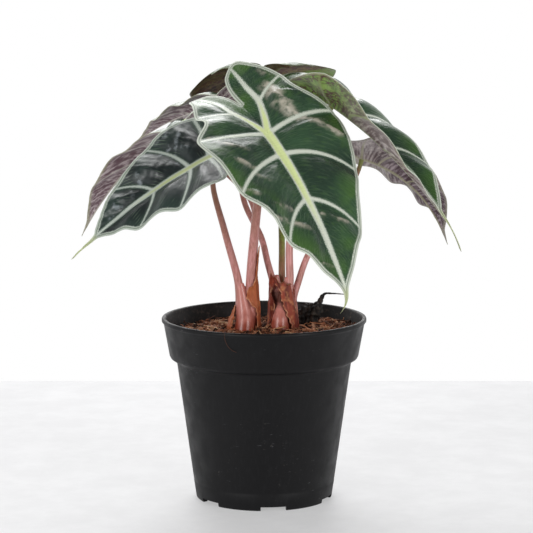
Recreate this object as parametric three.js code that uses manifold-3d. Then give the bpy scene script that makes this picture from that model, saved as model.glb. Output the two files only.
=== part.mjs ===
// A potted polly alocasia: a round nursery pot, peat soil, two crowns with papery sheaths,
// seven leaf stalks and seven arrow-shaped blades with raised ribs and scalloped, waved margins.
// Millimetres, +Z up. The origin is the middle of the pot's base; the front is -Y.
import * as THREE from 'three';
import { mergeVertices } from 'three/addons/utils/BufferGeometryUtils.js';
import Module from 'manifold-3d';

const wasm = await Module();
wasm.setup();

// Clearance between pieces that touch on the real plant
const GAP = 0.3;

// Pot: heights above the table and outer radii
const POT_HEIGHT = 107;
const POT_RIM_RADIUS = 60;
const POT_BAND_BOTTOM = 83.5;
const POT_BAND_RADIUS = 55.4;
const POT_BODY_TOP_RADIUS = 51.3;
const POT_BASE_RADIUS = 40;
const POT_WALL = 1.3;
const POT_FLOOR_BOTTOM = 3.2;
const POT_FLOOR_TOP = 5.2;
const POT_FOOT_WIDTH = 3;
const POT_PAD_RADIUS = 15;
const POT_PAD_SLOPE = 3;
const POT_PAD_THICKNESS = 2.2;
const POT_SIDES = 48;
// The outside from the foot ring up over the rolled lip: radius and height
const POT_OUTSIDE = [
  [POT_BASE_RADIUS - POT_FOOT_WIDTH, 0],
  [POT_BASE_RADIUS, 0],
  [POT_BODY_TOP_RADIUS, POT_BAND_BOTTOM - 1.5],
  [POT_BAND_RADIUS - 0.6, POT_BAND_BOTTOM],
  [POT_BAND_RADIUS, POT_BAND_BOTTOM + 0.8],
  [POT_RIM_RADIUS - 1.2, POT_HEIGHT - 3.4],
  [POT_RIM_RADIUS, POT_HEIGHT - 2.2],
  [POT_RIM_RADIUS, POT_HEIGHT - 0.7],
  [POT_RIM_RADIUS - 0.8, POT_HEIGHT],
  [POT_RIM_RADIUS - 2, POT_HEIGHT],
];
// The inside from the mouth down to the pad in the middle of the floor: radius and height
const POT_INSIDE = [
  [POT_RIM_RADIUS - POT_WALL - 1.2, POT_HEIGHT - 1.2],
  [POT_BAND_RADIUS - POT_WALL, POT_BAND_BOTTOM + 1.2],
  [POT_BODY_TOP_RADIUS - POT_WALL, POT_BAND_BOTTOM - 1.5],
  [POT_BASE_RADIUS - POT_WALL, POT_FLOOR_TOP],
  [POT_PAD_RADIUS + POT_PAD_SLOPE + 2, POT_FLOOR_TOP],
  [POT_PAD_RADIUS + 2, POT_PAD_THICKNESS],
];
const NOTCHES = 6;
const NOTCH_WIDTH = 15;
const NOTCH_HEIGHT = 2.4;
const NOTCH_TURN = -82;
const DRAIN_HOLES = 6;
const DRAIN_RADIUS = 4;
const DRAIN_RING = 26;
const DRAIN_SIDES = 12;

// Soil: level at the wall and at the plant, and the size of its lumps
const SOIL_EDGE = 96.5;
const SOIL_MIDDLE = 99;
const SOIL_LUMP = 1.3;
const SOIL_RINGS = 10;
const SOIL_SIDES = 44;
const SOCKET_SIDES = 20;

// Blade: thickness, rib and side vein relief on the upper side and underneath
const BLADE_THICKNESS = 0.7;
const RIB_HALF_WIDTH = 2.2;
const RIB_ABOVE = 0.5;
const RIB_BELOW = 1.5;
const VEIN_ABOVE = 0.35;
const VEIN_BELOW = 0.9;
const VEIN_FLANK = 0.12;
const VEIN_TAPER = 0.7;
const RIB_TAPER = 0.85;
const RIB_END_WIDTH = 0.25;
const FLANK_SHARE_LIMIT = 0.25;
const QUILT = 1.3;
const WAVE_REACH = 1.6;
const DRIP_TIP_START = 0.97;

// The half blade is a fan of rows from the rib to the margin, laid flat, in shares of the midrib's
// length: x towards the tip, y outwards. Each row has its rib point, a bow point and its margin point,
// and where they aren't zero how far the margin waves up, how far the row bulges, and its side vein.
const ROWS = [
  { at: 'drip tip end', rib: [1, 0], bow: [1, 0], edge: [1, 0] },
  { at: 'drip tip', rib: [0.985, 0], bow: [0.985, 0.004], edge: [0.99, 0.008] },
  { at: 'shoulder', rib: [0.9, 0], bow: [0.91, 0.02], edge: [0.93, 0.048], wave: 0.3, bulge: 0.2 },
  { at: 'fourth vein', rib: [0.73, 0], bow: [0.79, 0.065], edge: [0.86, 0.105], wave: -0.2, vein: 0.4 },
  { at: 'third bay', rib: [0.6, 0], bow: [0.67, 0.1], edge: [0.77, 0.166], wave: 0.6, bulge: 0.7 },
  { at: 'third vein', rib: [0.445, 0], bow: [0.5, 0.15], edge: [0.685, 0.242], wave: -0.5, vein: 0.8 },
  { at: 'second bay', rib: [0.31, 0], bow: [0.345, 0.19], edge: [0.5, 0.308], wave: 1, bulge: 1 },
  { at: 'second vein', rib: [0.15, 0], bow: [0.19, 0.24], edge: [0.362, 0.398], wave: -0.6, vein: 1 },
  { at: 'first bay', rib: [0.075, 0], bow: [0.08, 0.25], edge: [0.17, 0.45], wave: 0.9, bulge: 1 },
  { at: 'first vein', rib: [0, 0], bow: [-0.045, 0.24], edge: [-0.02, 0.478], wave: -0.5, vein: 1 },
  { at: 'basal bay', rib: [-0.1, 0.05], bow: [-0.135, 0.2], edge: [-0.165, 0.332], wave: 0.8, bulge: 0.8 },
  { at: 'basal vein', rib: [-0.205, 0.095], bow: [-0.255, 0.19], edge: [-0.27, 0.32], wave: -0.3, vein: 0.7 },
  { at: 'lobe bay', rib: [-0.33, 0.108], bow: [-0.375, 0.18], edge: [-0.4, 0.25], wave: 0.5, bulge: 0.5 },
  { at: 'lobe side', rib: [-0.43, 0.14], bow: [-0.46, 0.175], edge: [-0.478, 0.215], wave: 0.2, bulge: 0.2 },
  { at: 'lobe end', rib: [-0.5, 0.165], bow: [-0.5, 0.165], edge: [-0.5, 0.165] },
];
const JUNCTION_ROW = 9;
const LAST_ROW = ROWS.length - 1;
// Inner margin of a basal lobe, from the junction along the closed part to the sinus and the lobe end
const INNER_MARGIN = [[0, 0], [-0.13, 0], [-0.265, 0], [-0.38, 0.022], [-0.468, 0.078], [-0.5, 0.165]];
const COLUMNS = [0.36, 0.68, 1];
const INNER_COLUMNS = [0.55, 1];

// Each leaf: the midrib's length, where its stalk meets the blade, where the tip heads (degrees from
// +X), how steeply the blade slopes and bends, how its halves rise, curl and twist, and its drip tip.
const LEAVES = [
  {
    name: 'front', length: 109, junction: [2, -45.5, 218], heading: -52.5, slope: 37.5,
    droop: 23.5, droopBack: 54, roll: 18.5, foldLeft: 15.5, foldRight: 12,
    cupLeft: 43, cupRight: -5, twist: -7, twistBack: -46, foldTip: -7,
    foldBack: -18, width: 0.87, wave: 1.6, tip: 12, tipSag: 0.45,
  },
  {
    name: 'left_front', length: 81, junction: [-31, -41, 204.5], heading: 185, slope: 27,
    droop: 15.5, droopBack: 88, roll: -22, foldLeft: 8.5, foldRight: 13.5,
    cupLeft: 2, cupRight: -3, twist: -20.5, twistBack: 4.5, foldTip: -8,
    foldBack: 1, width: 0.95, wave: 1.4, tip: 15, tipSag: 0.05,
  },
  {
    name: 'left_rear', length: 87.5, junction: [-48, 17.5, 220], heading: 167, slope: 31.5,
    droop: 30, droopBack: -29, roll: -5.5, foldLeft: -5, foldRight: 8,
    cupLeft: -14, cupRight: 58, twist: 10.5, twistBack: -42.5, foldTip: 39.5,
    foldBack: 38.5, width: 0.74, wave: 1.4, tip: 6, tipSag: 0.2,
  },
  {
    name: 'upper_left', length: 65.5, junction: [-19, 52.5, 230], heading: 160.5, slope: 8,
    droop: 27.5, droopBack: 24, roll: 15, foldLeft: 5.5, foldRight: 13.5,
    cupLeft: 20, cupRight: 38, twist: -7.5, twistBack: 8, foldTip: 0.5,
    foldBack: 3.5, width: 1.01, wave: 1.2, tip: 5, tipSag: 0.2,
  },
  {
    name: 'rear', length: 95, junction: [-2.5, 79.5, 240.5], heading: 93, slope: 26,
    droop: 79.5, droopBack: 45, roll: 1, foldLeft: 28.5, foldRight: 22.5,
    cupLeft: 80, cupRight: 27, twist: 4.5, twistBack: -0.5, foldTip: -3,
    foldBack: 36.5, width: 1.04, wave: 1.2, tip: 12, tipSag: 0.2,
  },
  {
    name: 'right', length: 95, junction: [40, 3.5, 231.5], heading: -32, slope: 30,
    droop: 19.5, droopBack: 124.5, roll: -4.5, foldLeft: 32.5, foldRight: 26.5,
    cupLeft: 88, cupRight: -23, twist: 8.5, twistBack: -78.5, foldTip: 0.5,
    foldBack: 5.5, width: 0.78, wave: 1.2, tip: 18, tipSag: 0.3,
  },
  {
    name: 'right_rear', length: 69, junction: [58.5, 32, 198], heading: -3, slope: 16.5,
    droop: 52.5, droopBack: 8.5, roll: -14.5, foldLeft: 22.5, foldRight: 19.5,
    cupLeft: 39, cupRight: 17, twist: -19.5, twistBack: -37.5, foldTip: 1,
    foldBack: 32.5, width: 1.11, wave: 1.2, tip: 6, tipSag: 0.2,
  },
];

// Crowns: the swollen bases, with a stump end that stands in a plain hole in the soil
const SOCKET_DEPTH = 6;
const CROWNS = {
  left: { x: -12, y: 2, top: 111, radius: 8.2, stump: 6 },
  right: { x: 12.6, y: 5, top: 116, radius: 8.2, stump: 6 },
};
const CROWN_FOOT = 84;
const CROWN_SWELL = 0.3;
const CROWN_EDGE = 1.2;
const CROWN_COLLAR = 2.5;
const CROWN_SIDES = 24;

// Stalks: the crown and the spot each one rises from, points that it passes, and its radius at the
// foot, in the middle and at the blade
const STALKS = [
  {
    name: 'left_front', crown: 'left', foot: [-15.8, 0], radii: [3.3, 2.1, 1.3],
    through: [[-15, -1.5, 127.5], [-22.5, -11.5, 158], [-29, -31.5, 188.5]],
  },
  {
    name: 'front', crown: 'left', foot: [-8.1, 0.4], radii: [3.3, 2.9, 1.8],
    through: [[-7.5, -1.5, 132], [-4, -13.5, 172.5], [-0.5, -29.5, 199]],
  },
  {
    name: 'left_rear', crown: 'left', foot: [-12, 6.7], radii: [2.6, 1.8, 1.3],
    through: [[-7.5, 5.5, 128], [-5.5, 2, 152], [-7, 0, 174], [-28, 4, 197]],
  },
  {
    name: 'upper_left', crown: 'right', foot: [7.5, 5.2], radii: [2.2, 1.9, 1.4],
    through: [[2, 9.5, 138], [-1.5, 17.5, 151], [-12, 33, 171.5], [-16, 45, 203]],
  },
  {
    name: 'rear', crown: 'right', foot: [11, 9.6], radii: [2.1, 1.9, 1.5],
    through: [[10.5, 11.5, 130], [10.5, 20.5, 150.5], [8, 54, 194], [-0.5, 72.5, 225]],
  },
  {
    name: 'right', crown: 'right', foot: [13.4, 2.2], radii: [2.5, 2.2, 1.6],
    through: [[15, 2.5, 126.5], [15, 4.5, 150], [22.5, 8.5, 193.5]],
  },
  {
    name: 'right_rear', crown: 'right', foot: [17.3, 6.8], radii: [2.2, 1.9, 1.3],
    through: [[20, 7.5, 126], [26, 11.5, 142], [47.5, 24.5, 173.5]],
  },
];
const STALK_SIDES = 8;
const STALK_STEPS = 14;
const STALK_APPROACH = 7;
const STALK_SWOLLEN_FROM = 0.03;
const STALK_SWOLLEN_SHARE = 0.25;

// Papery sheaths round the crowns: the arc that they cover (degrees), how they lean out above the
// crown, and the torn top edge's heights from one end of the arc to the other
const SHEATH_THICKNESS = 0.7;
const SHEATH_FOOT = 102.5;
const SHEATH_TEAR = 1.2;
const SHEATH_CLEARANCE = 0.45;
const SHEATHS = [
  {
    name: 'sheath_left', crown: 'left', from: 150, to: 262, lean: 0,
    tops: [106, 111, 108.5, 113, 109, 107, 104.5],
  },
  {
    name: 'sheath_front', crown: 'left', from: -62, to: 28, lean: -0.04,
    tops: [104.5, 107, 114, 124, 131, 120, 108],
  },
  {
    name: 'sheath_right', crown: 'right', from: 178, to: 330, lean: 0.03,
    tops: [108, 117, 124, 119, 121, 113, 115, 109, 106],
  },
];
const SHEATH_ROWS = 4;

// Withered leaf: its foot in the soil, its curled black blade and the thin strand at its end
const WITHERED_ROUTE = [
  [23, 19, 93.5], [23, 19, 99.5], [25.5, 20, 105], [31, 22.5, 111],
  [36.5, 25, 116], [41, 26, 117], [48, 25, 116],
];
const WITHERED_RADII = [1.2, 1.3, 2, 2.6, 1.3, 0.5, 0.4];
const WITHERED_HOLE = 1.9;
const WITHERED_SIDES = 7;
const WITHERED_STEPS = 15;

// Straw fibre on the soil
const STRAW_RADIUS = 0.5;
const STRAW_LIFT = 1.4;
const STRAW_SIDES = 6;
const STRAW_STEPS = 10;
const STRAW_ROUTE = [[-41, 30], [-36, 24], [-31, 17], [-27, 8]];

const radians = THREE.MathUtils.degToRad;

// Curve helpers for the row tables
function catmullRom(list, u) {
  const last = list.length - 1;
  const i = Math.min(Math.floor(u), last - 1);
  const f = u - i;
  const at = (k) => list[Math.min(Math.max(k, 0), last)];
  const [a, b, c, d] = [at(i - 1), at(i), at(i + 1), at(i + 2)];
  const square = 2 * a - 5 * b + 4 * c - d;
  const cubic = 3 * b - a - 3 * c + d;
  return 0.5 * (2 * b + (c - a) * f + square * f ** 2 + cubic * f ** 3);
}

function straight(list, u) {
  const i = Math.min(Math.floor(u), list.length - 2);
  return list[i] + (list[i + 1] - list[i]) * (u - i);
}

// Geometry from shared vertices and triangles
function solidGeometry(vertices, triangles) {
  const geometry = new THREE.BufferGeometry();
  const positions = vertices.flatMap((v) => [v.x, v.y, v.z]);
  geometry.setAttribute('position', new THREE.Float32BufferAttribute(positions, 3));
  geometry.setIndex(triangles.flat());
  return geometry;
}

function toManifold(geometry) {
  const bare = geometry.clone();
  bare.deleteAttribute('normal');
  bare.deleteAttribute('uv');
  const merged = mergeVertices(bare, 1e-4);
  return new wasm.Manifold(new wasm.Mesh({
    numProp: 3,
    vertProperties: new Float32Array(merged.attributes.position.array),
    triVerts: new Uint32Array(merged.index.array),
  }));
}

function fromManifold(solid) {
  const mesh = solid.getMesh();
  const geometry = new THREE.BufferGeometry();
  geometry.setAttribute('position', new THREE.Float32BufferAttribute(mesh.vertProperties, 3));
  geometry.setIndex(Array.from(mesh.triVerts));
  return geometry;
}

function lathe(profile, sides) {
  const points = profile.map(([radius, z]) => new THREE.Vector2(radius, z));
  return new THREE.LatheGeometry(points, sides).rotateX(Math.PI / 2);
}

function upright(radius, height, sides) {
  return new THREE.CylinderGeometry(radius, radius, height, sides).rotateX(Math.PI / 2);
}

// One value of every row, zero where the row doesn't name it
const rowValues = (key) => ROWS.map((row) => row[key] ?? 0);

// Point of the half blade at row u (whole numbers are the rows above), a share t out from the rib
function flatRow(leaf, u, t) {
  const tipShare = leaf.tip / leaf.length;
  const column = (key, axis) => ROWS.map((row, k) => row[key][axis] + (k === 0 && axis === 0 ? tipShare : 0));
  const edgeCurve = u < 1 ? straight : catmullRom;
  const blend = (axis) => {
    const rib = straight(column('rib', axis), u);
    const bow = edgeCurve(column('bow', axis), u);
    const edge = edgeCurve(column('edge', axis), u);
    return (1 - t) ** 2 * rib + 2 * t * (1 - t) * bow + t * t * edge;
  };
  return [blend(0), blend(1)];
}

// From the lobe's rib to its inner margin
function innerRow(leaf, u, t) {
  const rib = flatRow(leaf, u, 0);
  const margin = [0, 1].map((axis) => catmullRom(INNER_MARGIN.map((p) => p[axis]), u - JUNCTION_ROW));
  margin[1] = Math.max(0, margin[1]);
  return rib.map((value, axis) => value + (margin[axis] - value) * t);
}

// Integrates a direction that turns at a steady rate along a length
function arc(start, rate, length) {
  if (Math.abs(rate) < 1e-9) return [Math.cos(start) * length, Math.sin(start) * length];
  const end = start + rate * length;
  return [(Math.sin(end) - Math.sin(start)) / rate, -(Math.cos(end) - Math.cos(start)) / rate];
}

// Place of a flat blade point, with the upward direction there. +y is left of the heading.
function bladeFrame(leaf, x, y) {
  const half = leaf.length / 2;
  const ahead = x >= 0;
  const left = y >= 0;
  const bendRate = -radians(ahead ? leaf.droop : leaf.droopBack) / leaf.length;
  const [along, rise] = arc(-radians(leaf.slope), bendRate, x);
  const pitch = -radians(leaf.slope) + bendRate * x;
  const tilt = radians(leaf.roll + ((ahead ? leaf.twist : leaf.twistBack) * x) / leaf.length);
  const up = new THREE.Vector3(-Math.sin(pitch), 0, Math.cos(pitch));
  const across = new THREE.Vector3(0, 1, 0);
  const side = across.clone().multiplyScalar(Math.cos(tilt)).addScaledVector(up, Math.sin(tilt));
  const normal = up.clone().multiplyScalar(Math.cos(tilt)).addScaledVector(across, -Math.sin(tilt));
  const foldChange = ((ahead ? leaf.foldTip : leaf.foldBack) * x) / leaf.length;
  const fold = radians((left ? leaf.foldLeft : leaf.foldRight) + foldChange);
  const cup = radians(left ? leaf.cupLeft : leaf.cupRight) / half;
  const [out, lift] = arc(fold, -cup, Math.abs(y));
  const place = new THREE.Vector3(along, 0, rise)
    .addScaledVector(side, Math.sign(y) * out)
    .addScaledVector(normal, lift);
  const slack = Math.max(0, x - DRIP_TIP_START * leaf.length);
  place.z -= (leaf.tipSag * slack ** 2) / (leaf.tip + (1 - DRIP_TIP_START) * leaf.length);
  const turned = fold - cup * Math.abs(y);
  const upward = normal.clone()
    .multiplyScalar(Math.cos(turned))
    .addScaledVector(side, -Math.sign(y) * Math.sin(turned));
  const turn = new THREE.Matrix4().makeRotationZ(radians(leaf.heading));
  return {
    place: place.applyMatrix4(turn).add(new THREE.Vector3(...leaf.junction)),
    upward: upward.applyMatrix4(turn),
  };
}

// Share of the full rib height left at row u
function ribSize(u) {
  if (u <= JUNCTION_ROW) return 1 - RIB_TAPER * Math.max(0, straight(ROWS.map((row) => row.rib[0]), u));
  return 1 - (RIB_TAPER * (u - JUNCTION_ROW)) / (LAST_ROW - JUNCTION_ROW);
}

// One blade as a closed solid: the flat rows are placed, then thickened both ways along the normals,
// with the ribs and side veins raised on both faces, and split alike on both faces.
function bladeGeometry(leaf) {
  const wholeRows = ROWS.map((row, k) => k);
  const veinRows = wholeRows.filter((k) => ROWS[k].vein);
  const outerRows = wholeRows.concat(0.5, veinRows.flatMap((k) => [k - VEIN_FLANK, k + VEIN_FLANK]));
  outerRows.sort((a, b) => a - b);
  const lobeRows = outerRows.filter((u) => u >= JUNCTION_ROW);
  const flat = [];
  const seen = new Map();

  const point = (side, [x, y], lift, above, below) => {
    const key = `${x.toFixed(5)} ${(side * y + 0).toFixed(5).replace('-0.00000', '0.00000')}`;
    if (!seen.has(key)) {
      seen.set(key, flat.length);
      flat.push({ x: x * leaf.length, y: side * y * leaf.length * leaf.width, lift, above, below });
    }
    return seen.get(key);
  };

  const outerPoint = (side, u, t) => {
    const wave = catmullRom(rowValues('wave'), u) * leaf.wave * t ** WAVE_REACH;
    const bulge = catmullRom(rowValues('bulge'), u) * QUILT * Math.sin(Math.PI * t);
    const vein = veinRows.includes(u) && t < 1 ? ROWS[u].vein * (1 - VEIN_TAPER * t) : 0;
    const rib = t === 0 ? ribSize(u) : 0;
    const above = Math.max(RIB_ABOVE * rib, VEIN_ABOVE * vein);
    const below = Math.max(RIB_BELOW * rib, VEIN_BELOW * vein);
    return point(side, flatRow(leaf, u, t), wave + bulge, above, below);
  };

  const innerPoint = (side, u, t) => {
    if (t === 0) return outerPoint(side, u, 0);
    return point(side, innerRow(leaf, u, t), 0, 0, 0);
  };

  const flank = (u, rowEnd) => {
    const [ax, ay] = flatRow(leaf, u, 0);
    const [bx, by] = rowEnd;
    const reach = Math.hypot(bx - ax, by - ay) * leaf.length;
    const halfWidth = RIB_HALF_WIDTH * THREE.MathUtils.lerp(RIB_END_WIDTH, 1, ribSize(u));
    return Math.min(FLANK_SHARE_LIMIT, halfWidth / Math.max(reach, 1e-6));
  };

  const triangles = [];
  const addFan = (side, rows, columnsAt, pointAt, flip) => {
    for (let i = 0; i < rows.length - 1; i += 1) {
      const near = columnsAt(rows[i]).map((t) => pointAt(side, rows[i], t));
      const far = columnsAt(rows[i + 1]).map((t) => pointAt(side, rows[i + 1], t));
      for (let j = 0; j < near.length - 1; j += 1) {
        const cell = [[near[j], near[j + 1], far[j]], [near[j + 1], far[j + 1], far[j]]];
        cell.filter((c) => new Set(c).size === 3).forEach((c) => triangles.push(flip ? c.reverse() : c));
      }
    }
  };
  const outerColumns = (u) => [0, flank(u, flatRow(leaf, u, 1)), ...COLUMNS];
  const innerColumns = (u) => [0, flank(u, innerRow(leaf, u, 1)), ...INNER_COLUMNS];
  [1, -1].forEach((side) => {
    addFan(side, outerRows, outerColumns, outerPoint, side < 0);
    addFan(side, lobeRows, innerColumns, innerPoint, side > 0);
  });

  const middle = flat.map((v) => {
    const { place, upward } = bladeFrame(leaf, v.x, v.y);
    return place.addScaledVector(upward, v.lift);
  });
  const normals = middle.map(() => new THREE.Vector3());
  triangles.forEach(([a, b, c]) => {
    const edge = middle[b].clone().sub(middle[a]);
    const face = edge.cross(middle[c].clone().sub(middle[a]));
    [a, b, c].forEach((k) => normals[k].add(face));
  });
  normals.forEach((normal, k) => {
    const { x, y } = flat[k];
    const nearRib = 1 - THREE.MathUtils.smoothstep(Math.abs(y), 0, RIB_HALF_WIDTH);
    normal.normalize().lerp(bladeFrame(leaf, x, 0).upward.normalize(), nearRib).normalize();
  });

  const half = BLADE_THICKNESS / 2;
  const top = middle.map((v, k) => v.clone().addScaledVector(normals[k], half + flat[k].above));
  const bottom = middle.map((v, k) => v.clone().addScaledVector(normals[k], -half - flat[k].below));
  const count = middle.length;
  const faces = triangles.flatMap(([a, b, c]) => [[a, b, c], [a + count, c + count, b + count]]);
  const edges = new Set(triangles.flatMap(([a, b, c]) => [`${a} ${b}`, `${b} ${c}`, `${c} ${a}`]));
  edges.forEach((edge) => {
    const [a, b] = edge.split(' ').map(Number);
    if (edges.has(`${b} ${a}`)) return;
    faces.push([b, a, a + count], [b, a + count, b + count]);
  });
  return solidGeometry(top.concat(bottom), faces);
}

// A closed round tube along a curve, with a radius that changes along it
function taperedTube(curve, radiusAt, sides, steps) {
  const frames = curve.computeFrenetFrames(steps, false);
  const vertices = [];
  const triangles = [];
  for (let i = 0; i <= steps; i += 1) {
    const centre = curve.getPointAt(i / steps);
    for (let j = 0; j < sides; j += 1) {
      const angle = (2 * Math.PI * j) / sides;
      const radius = radiusAt(i / steps);
      vertices.push(centre.clone()
        .addScaledVector(frames.normals[i], Math.cos(angle) * radius)
        .addScaledVector(frames.binormals[i], Math.sin(angle) * radius));
    }
  }
  for (let i = 0; i < steps; i += 1) {
    for (let j = 0; j < sides; j += 1) {
      const a = i * sides + j;
      const b = i * sides + ((j + 1) % sides);
      triangles.push([a, b, a + sides], [b, b + sides, a + sides]);
    }
  }
  const end = steps * sides;
  for (let j = 1; j < sides - 1; j += 1) {
    triangles.push([0, j + 1, j], [end, end + j, end + j + 1]);
  }
  return solidGeometry(vertices, triangles);
}

// The route of one stalk: up out of its socket, through its points, and square onto the blade
function stalkCurve(stalk) {
  const leaf = LEAVES.find((item) => item.name === stalk.name);
  const crown = CROWNS[stalk.crown];
  const { place, upward } = bladeFrame(leaf, 0, 0);
  const seat = BLADE_THICKNESS / 2 + RIB_BELOW + GAP;
  const [x, y] = stalk.foot;
  return new THREE.CatmullRomCurve3([
    new THREE.Vector3(x, y, crown.top - SOCKET_DEPTH),
    new THREE.Vector3(x, y, crown.top + 1),
    ...stalk.through.map((p) => new THREE.Vector3(...p)),
    place.clone().addScaledVector(upward, -seat - STALK_APPROACH),
    place.clone().addScaledVector(upward, -seat),
  ], false, 'centripetal');
}

function stalkRadius(stalk) {
  const [foot, middle, top] = stalk.radii;
  const swollen = STALK_SWOLLEN_SHARE;
  return (share) => (share < swollen
    ? THREE.MathUtils.lerp(foot, middle, THREE.MathUtils.smoothstep(share, STALK_SWOLLEN_FROM, swollen))
    : THREE.MathUtils.lerp(middle, top, (share - swollen) / (1 - swollen)));
}

function stalkGeometry(stalk) {
  return taperedTube(stalkCurve(stalk), stalkRadius(stalk), STALK_SIDES, STALK_STEPS);
}

// Soil level: a low mound with lumps from overlapping waves
function soilLevel(x, y) {
  const reach = Math.hypot(x, y) / POT_BAND_RADIUS;
  const mound = THREE.MathUtils.lerp(SOIL_MIDDLE, SOIL_EDGE, Math.min(1, reach) ** 2);
  const lumps = Math.sin(x * 0.53 + 1.3) * Math.cos(y * 0.61 - 0.4) + 0.6 * Math.sin(x * 1.17 - y * 0.93)
    + 0.5 * Math.cos(x * 0.81 + y * 1.31 + 2);
  return mound + 0.5 * SOIL_LUMP * lumps;
}

function soilGeometry() {
  const inside = POT_INSIDE.map(([radius, z]) => [radius - GAP, z]);
  const [mouth, step, neck, ...floor] = inside;
  const surfaceRadius = THREE.MathUtils.mapLinear(SOIL_EDGE - 2, step[1], mouth[1], step[0], mouth[0]);
  const wall = [[step[0], step[1] + GAP], neck, ...floor.map(([radius, z]) => [radius, z + GAP])];
  const vertices = [new THREE.Vector3(0, 0, soilLevel(0, 0))];
  const triangles = [];
  const ringCount = SOIL_RINGS + wall.length;
  for (let ring = 1; ring <= ringCount; ring += 1) {
    for (let j = 0; j < SOIL_SIDES; j += 1) {
      const angle = (2 * Math.PI * j) / SOIL_SIDES;
      const [radius, level] = wall[ring - SOIL_RINGS - 1] ?? [(surfaceRadius * ring) / SOIL_RINGS];
      const x = Math.cos(angle) * radius;
      const y = Math.sin(angle) * radius;
      vertices.push(new THREE.Vector3(x, y, level ?? soilLevel(x, y)));
    }
  }
  vertices.push(new THREE.Vector3(0, 0, POT_PAD_THICKNESS + GAP));
  const last = vertices.length - 1;
  for (let j = 0; j < SOIL_SIDES; j += 1) {
    const next = (j + 1) % SOIL_SIDES;
    triangles.push([0, 1 + j, 1 + next]);
    for (let ring = 0; ring < ringCount - 1; ring += 1) {
      const a = 1 + ring * SOIL_SIDES;
      const b = a + SOIL_SIDES;
      triangles.push([a + j, b + j, b + next], [a + j, b + next, a + next]);
    }
    const rim = 1 + (ringCount - 1) * SOIL_SIDES;
    triangles.push([last, rim + next, rim + j]);
  }
  let soil = toManifold(solidGeometry(vertices, triangles));
  const holes = Object.values(CROWNS).map((crown) => [crown.x, crown.y, crown.stump, CROWN_FOOT]);
  const [witheredX, witheredY, witheredFoot] = WITHERED_ROUTE[0];
  holes.push([witheredX, witheredY, WITHERED_HOLE, witheredFoot]);
  holes.forEach(([x, y, radius, foot]) => {
    const hole = upright(radius + GAP, POT_HEIGHT - foot, SOCKET_SIDES);
    hole.translate(x, y, (foot + POT_HEIGHT) / 2 - GAP);
    soil = soil.subtract(toManifold(hole));
  });
  return fromManifold(soil);
}

function potGeometry() {
  const shell = lathe([
    [0, 0],
    [POT_PAD_RADIUS, 0],
    [POT_PAD_RADIUS + POT_PAD_SLOPE, POT_FLOOR_BOTTOM],
    [POT_BASE_RADIUS - POT_FOOT_WIDTH, POT_FLOOR_BOTTOM],
    ...POT_OUTSIDE,
    ...POT_INSIDE,
    [0, POT_PAD_THICKNESS],
  ], POT_SIDES);
  let pot = toManifold(shell);
  for (let k = 0; k < NOTCHES; k += 1) {
    const notch = new THREE.BoxGeometry(2 * POT_FOOT_WIDTH + 4, NOTCH_WIDTH, 2 * NOTCH_HEIGHT);
    notch.translate(POT_BASE_RADIUS - POT_FOOT_WIDTH / 2, 0, 0);
    notch.rotateZ(radians(NOTCH_TURN + (360 * k) / NOTCHES));
    pot = pot.subtract(toManifold(notch));
  }
  for (let k = 0; k < DRAIN_HOLES; k += 1) {
    const angle = (2 * Math.PI * (k + 0.5)) / DRAIN_HOLES;
    const hole = upright(DRAIN_RADIUS, 2 * POT_FLOOR_TOP, DRAIN_SIDES);
    hole.translate(Math.cos(angle) * DRAIN_RING, Math.sin(angle) * DRAIN_RING, POT_FLOOR_BOTTOM);
    pot = pot.subtract(toManifold(hole));
  }
  return fromManifold(pot);
}

function crownGeometry(crown) {
  const collar = SHEATH_FOOT - 2;
  const body = lathe([
    [0, CROWN_FOOT],
    [crown.stump - CROWN_EDGE, CROWN_FOOT],
    [crown.stump, CROWN_FOOT + CROWN_EDGE],
    [crown.stump, collar],
    [crown.radius + CROWN_SWELL, collar + CROWN_COLLAR],
    [crown.radius + CROWN_SWELL, (collar + crown.top) / 2],
    [crown.radius, crown.top - CROWN_EDGE],
    [crown.radius - CROWN_EDGE, crown.top],
    [0, crown.top],
  ], CROWN_SIDES).translate(crown.x, crown.y, 0);
  let solid = toManifold(body);
  STALKS.filter((stalk) => CROWNS[stalk.crown] === crown).forEach((stalk) => {
    const [x, y] = stalk.foot;
    const socket = upright(stalk.radii[0] + GAP, 2 * (SOCKET_DEPTH + GAP), SOCKET_SIDES);
    socket.translate(x, y, crown.top);
    solid = solid.subtract(toManifold(socket));
  });
  return fromManifold(solid);
}

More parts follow.
